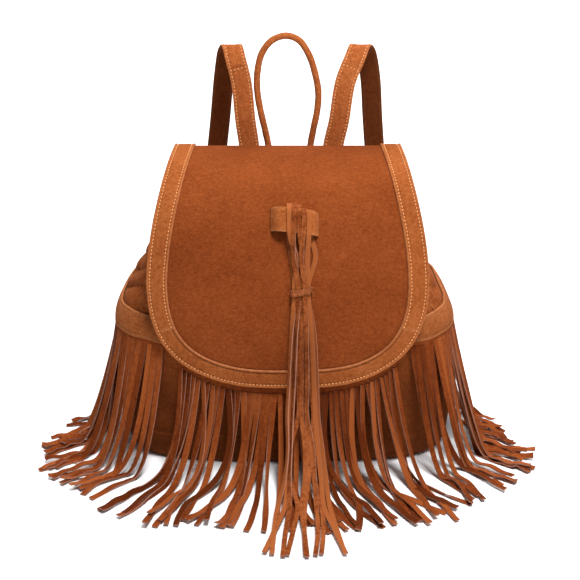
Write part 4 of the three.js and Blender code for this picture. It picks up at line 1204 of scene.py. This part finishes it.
def strap(name, line, width, thick, replaced, stitched=0.0024, cross_rows=()):
    """A flat strap with a row of stitches near both edges, on both of its faces."""
    place, length = ribbon_place(line)

    def padded(u, v, lift):
        plump = 1 + 0.16 * np.cos(math.pi * v / width)
        return place(u, v, lift * plump)

    def relief(u, v, near_u, near_v):
        groove = -0.0005 * np.exp(-((near_v - stitched) / 0.0007) ** 2)
        for at in cross_rows:
            groove = groove - 0.0005 * np.exp(-((u - at) / 0.0008) ** 2)
        return groove

    # Painted shade: the strap's inner face is darkened strongly, standing in for the shadow on the side
    # turned away from the lamps.
    piece = slab(name, padded, steps(length, 0.0016), -width / 2 + steps(width, 0.0009), thick, strap_suede,
                 relief=relief, under=lambda u, v: (0.0, 0.8))
    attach(piece, "root")
    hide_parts(replaced)
    run = np.linspace(0.002, length - 0.002, int(length / 0.0015))
    over = np.linspace(-width / 2 + stitched, width / 2 - stitched, 30)
    # The inner face's stitches take the thread darkened with painted shade, to go with the painted shade
    # there.
    for face_name, face, thread in (("", 1, cream_thread), ("_inner", -1, painted_shade_thread)):
        rows = [place(run, edge * (width / 2 - stitched), face * thick / 2) for edge in (-1, 1)]
        rows += [place(at, over, face * thick / 2) for at in cross_rows]
        sew(name + face_name + "_stitches", rows, "root", pitch=0.0031, length=0.0021, thick=0.0010,
            thread=thread)


# where each strap rises, turns over, falls and hangs, as its places across the bag
STRAP_PLANS = {"left": (-0.042, -0.0505, -0.0585, -0.073), "right": (0.052, 0.0655, 0.0755, 0.086)}
HANG_Y = 0.113
ADJUSTER_HEIGHT = 0.118
ADJUSTER_TALL = 0.026
ADJUSTER_THICK = 0.0024
ADJUSTER_BAR = 0.003
WEBBING_WIDTH = 0.016
WEBBING_THICK = 0.0016
ANCHOR_X = 0.106
ANCHOR_STITCH_IN = 0.0022


def half_turn(x, height, radius, up):
    """Points of a strap's turn round a bar, from the far side to the near side."""
    turns = np.linspace(0, math.pi, 7)
    return [(x, HANG_Y + math.cos(a) * radius, height + up * math.sin(a) * (radius + 0.0004)) for a in turns]


for side_name, (rise, top, fall, hang) in STRAP_PLANS.items():
    sewn = SEWN_X[side_name]
    upper_bar = ADJUSTER_HEIGHT + ADJUSTER_TALL / 2 - ADJUSTER_BAR / 2
    upper_turn = ADJUSTER_THICK / 2 + 0.0006 + STRAP_THICK / 2
    route = [
        behind(sewn, SEWN_LOW), behind(sewn, SEWN_HIGH), (sewn, 0.0515, 0.262),
        (between(sewn, rise, 0.5), 0.056, 0.288), (rise, 0.063, 0.322),
        (between(rise, top, 0.6), 0.0695, 0.342), (top, 0.079, 0.351),
        (between(top, fall, 0.5), 0.089, 0.343), (fall, 0.097, 0.316),
        (between(fall, hang, 0.3), 0.105, 0.270), (between(fall, hang, 0.7), 0.1135, 0.215),
        (hang, HANG_Y + upper_turn + 0.0006, 0.165),
        (hang, HANG_Y + upper_turn, 0.142), *half_turn(hang, upper_bar - 0.001, upper_turn, -1),
        (hang, HANG_Y - upper_turn, 0.140),
    ]
    line = smooth_line(route, 0.0012)
    shoulder = float(distance_along(line)[np.argmax(line[:, 2]) - 1])
    strap(f"suede_strap_{side_name}", line, STRAP_WIDTH, STRAP_THICK, f"shoulder_strap_{side_name}",
          cross_rows=(shoulder - 0.022,))
    out = math.copysign(1.0, hang)
    lower_turn = ADJUSTER_THICK / 2 + 0.0006 + WEBBING_THICK / 2
    base_y = float(behind(out * ANCHOR_X, 0.020, 0.0)[1])
    lower_route = [
        (hang, HANG_Y - lower_turn - 0.0006, 0.070), (hang, HANG_Y - lower_turn, 0.096),
        *half_turn(hang, ADJUSTER_HEIGHT + 0.0008, lower_turn, 1)[::-1],
        (hang, HANG_Y + lower_turn, 0.096), (hang + out * 0.001, HANG_Y + 0.004, 0.060),
        (hang + out * 0.004, HANG_Y + 0.008, 0.024), (hang + out * 0.010, HANG_Y + 0.002, 0.005),
        (hang + out * 0.018, HANG_Y - 0.016, 0.0035), (out * (ANCHOR_X - 0.003), base_y + 0.013, 0.008),
        (out * ANCHOR_X, base_y + 0.0074, 0.017), (out * ANCHOR_X, base_y + 0.0066, 0.026),
    ]
    strap(f"suede_lower_strap_{side_name}", smooth_line(lower_route, 0.0012), WEBBING_WIDTH, WEBBING_THICK,
          f"lower_strap_{side_name}", stitched=0.002)

    # The adjuster is a flat brass slide with three bars and rounded corners.
    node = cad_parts[f"strap_adjuster_{side_name}"]
    slide_mesh = node.data.copy()
    slide = bpy.data.objects.new(f"brass_adjuster_{side_name}", slide_mesh)
    slide_mesh.materials.clear()
    slide_mesh.materials.append(antique_brass)
    bpy.context.scene.collection.objects.link(slide)
    for kind, facts in (("WELD", dict(merge_threshold=1e-5)),
                        ("DECIMATE", dict(decimate_type="DISSOLVE", angle_limit=0.02)),
                        ("BEVEL", dict(width=0.0008, segments=3, limit_method="ANGLE"))):
        modifier = slide.modifiers.new(kind.lower(), kind)
        for key, value in facts.items():
            setattr(modifier, key, value)
    slide_mesh.shade_smooth()
    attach(slide, "root")
    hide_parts(f"strap_adjuster_{side_name}")

    # The anchor is a small suede tab sewn over the lower strap's end at the foot of the back.
    anchor_low, anchor_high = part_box(f"strap_anchor_{side_name}")
    anchor_wide = anchor_high.x - anchor_low.x
    anchor_tall = anchor_high.z - anchor_low.z

    def anchor_point(u, v, lift):
        over_strap = 0.0022 * smoothstep(np.abs(u), 0.0106, 0.0078)
        return behind(anchor_low.x + anchor_wide / 2 + u, anchor_low.z + v, lift + 0.0024 + over_strap)

    anchor = slab(f"suede_anchor_{side_name}", anchor_point, -anchor_wide / 2 + steps(anchor_wide, 0.0012),
                  steps(anchor_tall, 0.0015), 0.0014, strap_suede)
    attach(anchor, "root")
    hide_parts(f"strap_anchor_{side_name}")
    ends = np.linspace(0, 1, 24)
    half = anchor_wide / 2 - ANCHOR_STITCH_IN
    low, high = ANCHOR_STITCH_IN, anchor_tall - ANCHOR_STITCH_IN
    corners = [(-half, low), (half, low), (half, high), (-half, high)]
    anchor_rows = []
    for first, last in ((0, 1), (1, 2), (2, 3), (3, 0), (0, 2), (1, 3)):
        u = between(corners[first][0], corners[last][0], ends)
        v = between(corners[first][1], corners[last][1], ends)
        anchor_rows.append(anchor_point(u, v, 0.0006))
    sew(f"anchor_stitches_{side_name}", anchor_rows, "root")

# The patch is sewn flat to the back between the ends that it covers, and rises over each of them.
PATCH_LOW, PATCH_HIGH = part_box("back_patch")
COVERED = [(x, 0.0098) for x in SEWN_X.values()] + [(x, 0.005) for x in HANDLE_X.values()]


def patch_point(u, v, lift):
    over = np.zeros(np.shape(u))
    for x, half in COVERED:
        over = np.maximum(over, smoothstep(np.abs(u - x), half + 0.0035, half))
    tucked = smoothstep(v, PATCH_LOW.z, PATCH_LOW.z + 0.004)
    opened = 0.0016 * smoothstep(v, 0.240, PATCH_HIGH.z)
    return behind(u, v, lift + BODY_SUEDE / 2 + 0.0014 + over * (0.0024 * tucked + opened))


back_patch = slab("suede_back_patch", patch_point, steps_between(PATCH_LOW.x, PATCH_HIGH.x, 0.0012),
                  steps_between(PATCH_LOW.z, PATCH_HIGH.z, 0.0014), 0.0015, band_suede)
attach(back_patch, "root")
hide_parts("back_patch")
patch_rows = []
for inset in (0.0024, 0.0052):
    left, right = PATCH_LOW.x + inset, PATCH_HIGH.x - inset
    low, high = PATCH_LOW.z + inset, PATCH_HIGH.z - inset
    corners = [(left, low), (right, low), (right, high), (left, high)]
    share = np.linspace(0, 1, 90)
    for (x0, z0), (x1, z1) in zip(corners, corners[1:] + corners[:1]):
        patch_rows.append(patch_point(between(x0, x1, share), between(z0, z1, share), 0.0006))
sew("patch_stitches", patch_rows, "root")

# ---------------------------------------------------------------- the flap
# One piece of suede, sewn to the top of the back, folded over the mouth and hanging down the front. Three
# bands of suede bind its edge, a cloth lining backs it, and it turns about the fold along its upper edge.
FLAP_SUEDE = 0.0016
FLAP_LENGTH = 0.2658              # from the fold to the lower edge, along the suede
FLAP_TURN_DOWN = 0.019            # how much of it is sewn down behind the fold
FLAP_TOP_HALF = 0.102
FLAP_WIDE_HALF = 0.1245
FLAP_WIDE_AT = 0.175
FLAP_FLARE = 1.7                  # how late the flap widens: 1 widens at once
FLAP_ROUND_FROM = 0.158
FLAP_CORNER_POWER = 2.8
FLAP_WRAP = 0.015
# depth and height of the flap's middle line, from its sewn edge behind, over the fold and down the front
FLAP_LINE = [
    (0.0463, 0.2490), (0.0465, 0.2570), (0.0457, 0.2640), (0.0422, 0.2683), (0.034, 0.2706), (0.024, 0.272),
    (0.0, 0.2715), (-0.024, 0.264), (-0.045, 0.249), (-0.061, 0.228), (-0.073, 0.200), (-0.081, 0.165),
    (-0.0845, 0.130), (-0.0845, 0.108), (-0.083, 0.088),
]
flap_suede = suede("flap_suede", [(97, 42, 15), (122, 58, 24), (141, 72, 34), (158, 92, 51)],
                   nap=(260, 520, 520))
border_suede = suede("border_suede", [(115, 55, 23), (145, 78, 37), (167, 98, 55), (183, 119, 75)],
                     nap=(260, 420, 300))

flap_middle = smooth_line([(0.0, y, z) for y, z in FLAP_LINE], 0.0004)[:, 1:]
flap_run = distance_along(flap_middle)
flap_run -= flap_run[-1] - FLAP_LENGTH
flap_way = tangents(flap_middle)


def on_flap(x, along, lift=0.0):
    """A point of the flap, from its place across and along it, lifted out. Its sides wrap round the body."""
    x, along, lift = np.broadcast_arrays(np.asarray(x, float), along, lift)
    y, z = (np.interp(along, flap_run, column) for column in flap_middle.T)
    way_y, way_z = (np.interp(along, flap_run, column) for column in flap_way.T)
    beyond = np.maximum(along - flap_run[-1], 0)
    y, z = y + beyond * way_y, z + beyond * way_z
    share = smoothstep(along, 0, 0.150)
    wrap = FLAP_WRAP * share * (np.abs(x) / FLAP_WIDE_HALF) ** 2.5
    slope = 2.5 * FLAP_WRAP * share * (np.abs(x) / FLAP_WIDE_HALF) ** 1.5 / FLAP_WIDE_HALF * np.sign(x)
    length = np.sqrt(1 + slope**2)
    waves = 0.0007 * np.sin(31 * x + 0.6) * np.sin(24 * along + 0.4)
    wrap = wrap - share * (waves + 0.0004 * np.sin(70 * x + 40 * along))
    out_x, out_y, out_z = slope / length, way_z / length, -way_y / length
    return np.stack([x + lift * out_x, y - wrap * way_z + lift * out_y, z + wrap * way_y + lift * out_z], -1)


def flap_half_width(along):
    spread = np.sin(math.pi / 2 * np.clip(along / FLAP_WIDE_AT, 0, 1)) ** FLAP_FLARE
    side = between(FLAP_TOP_HALF, FLAP_WIDE_HALF, spread)
    corner = np.clip((along - FLAP_ROUND_FROM) / (FLAP_LENGTH - FLAP_ROUND_FROM), 0, 1)
    return side * (1 - corner**FLAP_CORNER_POWER) ** (1 / FLAP_CORNER_POWER)


def folds_over(piece):
    """Bakes the piece's place into its mesh. It is sewn down behind the fold and runs on down the flap in
    front of it.
    """
    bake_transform(piece)


def narrower(inset):
    """Places on the flap by their share of its half width, which is made narrower by the inset."""
    return lambda u, v, lift: on_flap(u * (flap_half_width(v) - inset), v, lift)


# the rows of its mesh lie closer together where its lower edge is round
ROUND_ROWS = 0.2
flap_rows = np.concatenate([-FLAP_TURN_DOWN + steps(FLAP_TURN_DOWN + ROUND_ROWS, 0.0024)[:-4],
                            np.linspace(ROUND_ROWS, FLAP_LENGTH - 0.0006, 42)[1:]])
flap_panel = slab("suede_flap_panel", narrower(0.0004), np.linspace(-1, 1, 121), flap_rows, FLAP_SUEDE,
                  flap_suede)
folds_over(flap_panel)
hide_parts("flap_panel")

lining_rows = np.concatenate([[0.004, 0.006], np.linspace(0.01, 0.262, 90)])
flap_lining = slab("cloth_flap_lining", narrower(0.0012), np.linspace(-1, 1, 61), lining_rows, LINING_THICK,
                   lining_cloth, lift=-0.0022)
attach(flap_lining, "flap")
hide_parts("flap_lining")

# The flap's outline, from the sewn edge down the left side, round the bottom and up the right side.
outline_down = np.linspace(-FLAP_TURN_DOWN, FLAP_ROUND_FROM, 160)
outline_left = [(-flap_half_width(s), s) for s in outline_down[:-1]]
for turn in np.linspace(0, math.pi / 2, 260):
    along = between(FLAP_ROUND_FROM, FLAP_LENGTH, math.sin(turn) ** (2 / FLAP_CORNER_POWER))
    outline_left.append((-flap_half_width(along), along))
outline_left[-1] = (0.0, outline_left[-1][1])    # the lowest point lies exactly in the middle
outline_points = np.array(outline_left + [(-x, s) for x, s in outline_left[-2::-1]])
outline_run = distance_along(outline_points)
OUTLINE_LENGTH = outline_run[-1]
even_run = np.linspace(0, OUTLINE_LENGTH, 700)
even_outline = read_off(even_run, outline_run, outline_points)
even_way = tangents(even_outline)


def inside_edge(around, inwards):
    """A place across and along the flap, from the distance round its outline and the distance in from it."""
    x, along = (np.interp(around, even_run, column) for column in even_outline.T)
    way_x, way_along = (np.interp(around, even_run, column) for column in even_way.T)
    return x + inwards * way_along, along - inwards * way_x


def around_at(along):
    """The distance round the outline at which it first reaches a distance along the flap."""
    half_way = len(even_run) // 2
    return float(np.interp(along, even_outline[:half_way, 1], even_run[:half_way]))


BORDER_WIDTH = 0.0185
BORDER_THICK = 0.0012
BORDER_LIFT = FLAP_SUEDE / 2 + 0.0003 + BORDER_THICK / 2
BORDER_SEAM = around_at(0.215)
STITCH_IN = 0.0030


def border_point(u, v, lift):
    return on_flap(*inside_edge(u, v), lift)


def border(side_name, start, end, lap=0.0):
    """One band of the flap's border. Its turned edges stand a little proud and its stitches sink in. lap
    raises its ends, where it is turned in over its neighbours."""
    def relief(u, v, near_u, near_v):
        ridge = 0.0005 * np.exp(-((near_v - 0.0011) / 0.0009) ** 2)
        groove = 0.0007 * np.exp(-((near_v - STITCH_IN) / 0.0008) ** 2)
        return ridge - groove + lap * np.exp(-(near_u / 0.0022) ** 2)

    piece = slab(f"suede_border_{side_name}", border_point, steps_between(start, end, 0.0018),
                 steps(BORDER_WIDTH, 0.0009), BORDER_THICK, border_suede, lift=BORDER_LIFT, relief=relief)
    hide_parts(f"flap_border_{side_name}")
    return piece


RIGHT_SEAM = OUTLINE_LENGTH - BORDER_SEAM
folds_over(border("left", 0.0004, BORDER_SEAM + 0.0004))
folds_over(border("right", RIGHT_SEAM - 0.0004, OUTLINE_LENGTH - 0.0004))
bottom_border = border("bottom", BORDER_SEAM - 0.0003, RIGHT_SEAM + 0.0003, lap=0.0005)
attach(bottom_border, "flap")


def flap_row(start, end, inwards):
    around = np.linspace(start, end, int((end - start) / 0.0016))
    return border_point(around, np.full(around.shape, inwards), BORDER_LIFT + BORDER_THICK / 2 - 0.0003)


edge_stitches = sew("flap_edge_stitches", [
    flap_row(0.002, OUTLINE_LENGTH - 0.002, STITCH_IN),
    flap_row(0.002, BORDER_SEAM - 0.001, BORDER_WIDTH - STITCH_IN),
    flap_row(RIGHT_SEAM + 0.001, OUTLINE_LENGTH - 0.002, BORDER_WIDTH - STITCH_IN),
], None)
folds_over(edge_stitches)
# The inner row along the bottom band takes the thread darkened with painted shade.
sew("flap_inner_stitches", [flap_row(BORDER_SEAM, RIGHT_SEAM, BORDER_WIDTH - STITCH_IN)],
    "flap", thread=painted_shade_thread, pitch=0.0030, length=0.0023, thick=0.0006)
behind_row = np.linspace(-0.1, 0.1, 200)
behind_rows = [on_flap(behind_row, np.full(200, -FLAP_TURN_DOWN + at), FLAP_SUEDE / 2 - 0.0001)
               for at in (0.0025, 0.0065)]
sew("flap_fold_stitches", behind_rows, "root")

# ---------------------------------------------------------------- the flap's fringe
# The same cut suede, sewn in behind the flap's lower edge. It falls in front of the body and spreads out on
# the ground before it.
FLAP_FRINGE_HALF = 0.098
FLAP_REACH = 0.107
FLAP_SPREAD = 0.75                # how far the strips at the flap's corners turn aside
FLAP_STRIPS = 44
flap_draw = np.random.default_rng(5)
fringed = (even_outline[:, 1] > FLAP_ROUND_FROM) & (np.abs(even_outline[:, 0]) < FLAP_FRINGE_HALF)
FRINGE_FROM, FRINGE_TO = even_run[fringed][[0, -1]].tolist()
flap_rough = header_edge(flap_draw, FLAP_STRIPS)


def flap_header_point(u, v, lift):
    """v runs from 0 at the header's lower edge, below the flap, to 1 at its sewn edge, behind the flap."""
    share = (u - FRINGE_FROM) / (FRINGE_TO - FRINGE_FROM)
    low = -HEADER_HEIGHT + np.interp(share, np.linspace(0, 1, FLAP_STRIPS + 1), flap_rough)
    height = low + (0.007 - low) * v
    inside = on_flap(*inside_edge(u, np.maximum(height, 0)), -0.0013 + lift)
    below = np.minimum(height, 0)
    inside[..., 2] += below
    inside[..., 1] -= 0.12 * below
    return inside


fringe_across = steps_between(FRINGE_FROM, FRINGE_TO, 0.002)
flap_header = slab("flap_fringe_header", flap_header_point, fringe_across, np.linspace(0, 1, 12), 0.0009,
                   fringe_suede)
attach(flap_header, "flap")
flap_strips = []
for i in range(FLAP_STRIPS):
    share = (i + 0.5) / FLAP_STRIPS
    u = between(FRINGE_FROM, FRINGE_TO, share)
    start = on_flap(*inside_edge(u, 0.0), -0.0011)
    start = start + np.array([0.0, 0.0006, -HEADER_HEIGHT + 0.0045])
    away = unit(np.array([1.1 * start[0], -0.12, 0.004]))
    out = unit(np.array([FLAP_SPREAD * start[0] / FLAP_FRINGE_HALF + flap_draw.normal(0, 0.09), -1.0, 0.0]))
    reach = FLAP_REACH * flap_draw.uniform(0.88, 1.05)
    flap_strips.append(falling_strip(flap_draw, start, away, out, reach, 0.55 + i % 3, (0.07, 0.19)))
comb("flap_fringe_strips", flap_strips, "flap", "flap_fringe")

# ---------------------------------------------------------------- the tassel
# Five long laces of suede lie doubled over a short arched tab that is sewn to the flap at both ends. A narrow
# tie gathers them. Their ten ends fan out below it and reach the ground in front of the fringe.
TAB_CENTRE_X = 0.006
TAB_LENGTH = 0.042
TAB_HEIGHT = 0.020
TAB_ARCH = 0.0095
TAB_TILT = 0.11                   # it is sewn a little lower on the right
TAB_AT = 0.112
TAB_THICK = 0.0016
TAB_LIFT = FLAP_SUEDE / 2 + 0.0003 + TAB_THICK / 2
lace_suede = suede("lace_suede", [(84, 36, 13), (118, 57, 25), (152, 84, 44), (184, 120, 84)],
                   nap=(260, 260, 90), mottle=1.6, wear=0.25)
LACE_WIDTH = 0.0044
LACE_THICK = 0.0012
LACE_LAYER = 0.0014               # every second lace lies this much higher than its neighbours
TAB_PITCH = 0.0043                # from lace to lace on the tab, and within the tie
TIE_PITCH = 0.0030
TASSEL_X = 0.012
TIE_AT = 0.172


def tab_arch(x):
    return TAB_ARCH * np.maximum(0, 1 - np.abs(2 * (x - TAB_CENTRE_X) / TAB_LENGTH) ** 5)


def tab_point(u, v, lift):
    return on_flap(TAB_CENTRE_X + u, TAB_AT + v + TAB_TILT * u, lift + tab_arch(TAB_CENTRE_X + u))


tassel_tab = slab("suede_tassel_tab", tab_point, -TAB_LENGTH / 2 + steps(TAB_LENGTH, 0.0009),
                  -TAB_HEIGHT / 2 + steps(TAB_HEIGHT, 0.0012), TAB_THICK, border_suede, lift=TAB_LIFT)
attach(tassel_tab, "flap")
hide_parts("tassel_tab")

BACK_LIFT = 0.0018
FRONT_LIFT = BACK_LIFT + 2 * LACE_LAYER
# for each lace, how far its front and its back half wander aside above the tie, and how high its loop sits
FRONT_SWAY = [0.0030, -0.0026, 0.0022, -0.0030, -0.0012]
BACK_SWAY = [-0.0008, 0.0034, -0.0016, 0.0030, 0.0060]
LOOP_UP = [0.0145, 0.0152, 0.0140, 0.0105, 0.0095]


def lace_half(draw, number, lane, front):
    """The points of one half of a lace, from the tab down to its end on the ground."""
    on_tab = TASSEL_X - 0.002 + lane * TAB_PITCH
    in_tie = TASSEL_X + lane * TIE_PITCH
    fan = 2 * lane + (0 if front else 1)
    sway = (FRONT_SWAY if front else BACK_SWAY)[number]
    layer = LACE_LAYER * (number % 2)
    lift = (FRONT_LIFT if front else BACK_LIFT) + layer
    over_tab = TAB_LIFT + float(tab_arch(on_tab)) + TAB_THICK / 2 + 0.0012 + layer
    near_tab = over_tab if front else 0.0020 + layer
    tilt = TAB_TILT * (on_tab - TAB_CENTRE_X)
    step = 0.0021 if front else 0.0
    stray = draw.normal(0, 0.0035, 4)
    drop = draw.normal(0, 0.0012)

    def below(spread, depth, height, aside):
        return np.array([TASSEL_X + fan * spread + aside, depth - step + drop, height])

    return [
        on_flap(on_tab, TAB_AT - 0.009 + tilt, near_tab),
        on_flap(on_tab, TAB_AT + tilt, near_tab),
        on_flap(on_tab + 0.3 * sway, TAB_AT + 0.013, near_tab - (0.0004 if front else 0)),
        on_flap(between(on_tab, in_tie, 0.6) + sway, TIE_AT - 0.030, lift + (0.0026 if front else 0.0006)),
        on_flap(in_tie, TIE_AT - 0.006, lift),
        on_flap(in_tie, TIE_AT + 0.006, lift),
        on_flap(TASSEL_X + fan * 0.0022, TIE_AT + 0.038, lift + 0.0014),
        on_flap(TASSEL_X + fan * 0.0029 + 0.3 * stray[0], FLAP_LENGTH - 0.004, lift + 0.0024),
        below(0.0033, -0.095, 0.066, 0.6 * stray[0]),
        below(0.0037, -0.110, 0.042, stray[1]),
        below(0.0044, -0.130, 0.022, stray[1]),
        below(0.0054, -0.155, 0.009, stray[2]),
        below(0.0072, -0.190, 0.0050, stray[2] + stray[3]),
        below(0.0084, -0.229 + 0.0015 * abs(fan), 0.0036, 2 * stray[3]),
    ]


def lace_faces(line, turning):
    """The way a lace's broad side faces: away from the flap, then turning over here and there as it hangs."""
    run = distance_along(line)
    half = run[-1] / 2
    from_top = np.abs(run - half)
    along = tangents(line)
    across = unit(SIDEWAYS - along * along[:, :1])
    face = np.cross(across, along)
    twist = np.zeros(len(line))
    for way, amount in zip((run < half, run >= half), turning):
        hang = smoothstep(from_top, 0.075, 0.13) * smoothstep(from_top, 0.31, 0.24)
        above = 0.55 * np.sin(math.pi * np.clip((from_top - 0.022) / 0.046, 0, 1))
        twist = np.where(way, amount * (hang + above), twist)
    return turned_face(line, face, twist)


lace_draw = np.random.default_rng(31)
for i in range(5):
    lane = i - 2
    back = lace_half(lace_draw, i, lane, False)
    front = lace_half(lace_draw, i, lane, True)
    loop_tilt = TAB_TILT * (back[0][0] - TAB_CENTRE_X)
    over = on_flap(back[0][0], TAB_AT - LOOP_UP[i] + loop_tilt, 0.0065)
    line = smooth_line([*back[::-1], over, *front], 0.0034)
    face = lace_faces(line, lace_draw.uniform(-1.1, 1.1, 2))
    wide = np.full(len(line), 1.0) * lace_draw.uniform(0.86, 1.04)
    line = lifted_off_floor(line, face, wide, LACE_WIDTH, LACE_THICK)
    guides = guide_mesh(f"lace_{i + 1}", [line], face=[face], wide=[wide],
                        tone=[np.full(len(line), lace_draw.normal(0.4, 0.8))])
    settings = {"Width": LACE_WIDTH, "Thickness": LACE_THICK, "Material": lace_suede}
    lace = grown(f"suede_lace_{i + 1}", guides, cut_strips, settings, lace_suede)
    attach(lace, "flap")
    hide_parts(f"tassel_lace_{i + 1}")

# The tie is a narrow strip wound twice round all ten strands.
TIE_HALF = 2 * TIE_PITCH + LACE_WIDTH / 2 + 0.0005
TIE_LOW = BACK_LIFT - LACE_THICK / 2 - 0.0001
TIE_HIGH = FRONT_LIFT + LACE_LAYER + LACE_THICK / 2 + 0.0004
TIE_THICK = 0.0009


def tie_point(u, v, lift):
    """u goes round the bundle, from 0 to 2 turns, and v runs along it."""
    angle = 2 * math.pi * u
    c, s = np.cos(angle), np.sin(angle)
    reach = TIE_HALF + lift + 0.0005
    deep = (TIE_HIGH - TIE_LOW) / 2 + lift + 0.0004 * u
    x = reach * np.sign(c) * np.abs(c) ** 0.5
    height = (TIE_LOW + TIE_HIGH) / 2 + deep * np.sign(s) * np.abs(s) ** 0.5
    return on_flap(TASSEL_X + x, TIE_AT + v - 0.16 * x + 0.0021 * (u - 1) + 0.0006 * np.sin(angle), height)


TIE_WIDTH = 0.003
tie_across = -TIE_WIDTH / 2 + steps(TIE_WIDTH, 0.0008, 0.0004)
tie = slab("suede_tassel_tie", tie_point, np.linspace(0, 2, 121), tie_across, TIE_THICK, lace_suede,
           rounding=0.0004)
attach(tie, "flap")
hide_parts("tassel_tie")

# ---------------------------------------------------------------- the snap's stud
# The other half of the magnetic snap, riveted to the flap's lining opposite the socket.
STUD_LOW, STUD_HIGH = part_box("snap_stud")
stud = snap_half("brass_snap_stud", STUD_LOW.y, STUD_HIGH.y, -0.0006, "flap")
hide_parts("snap_stud")
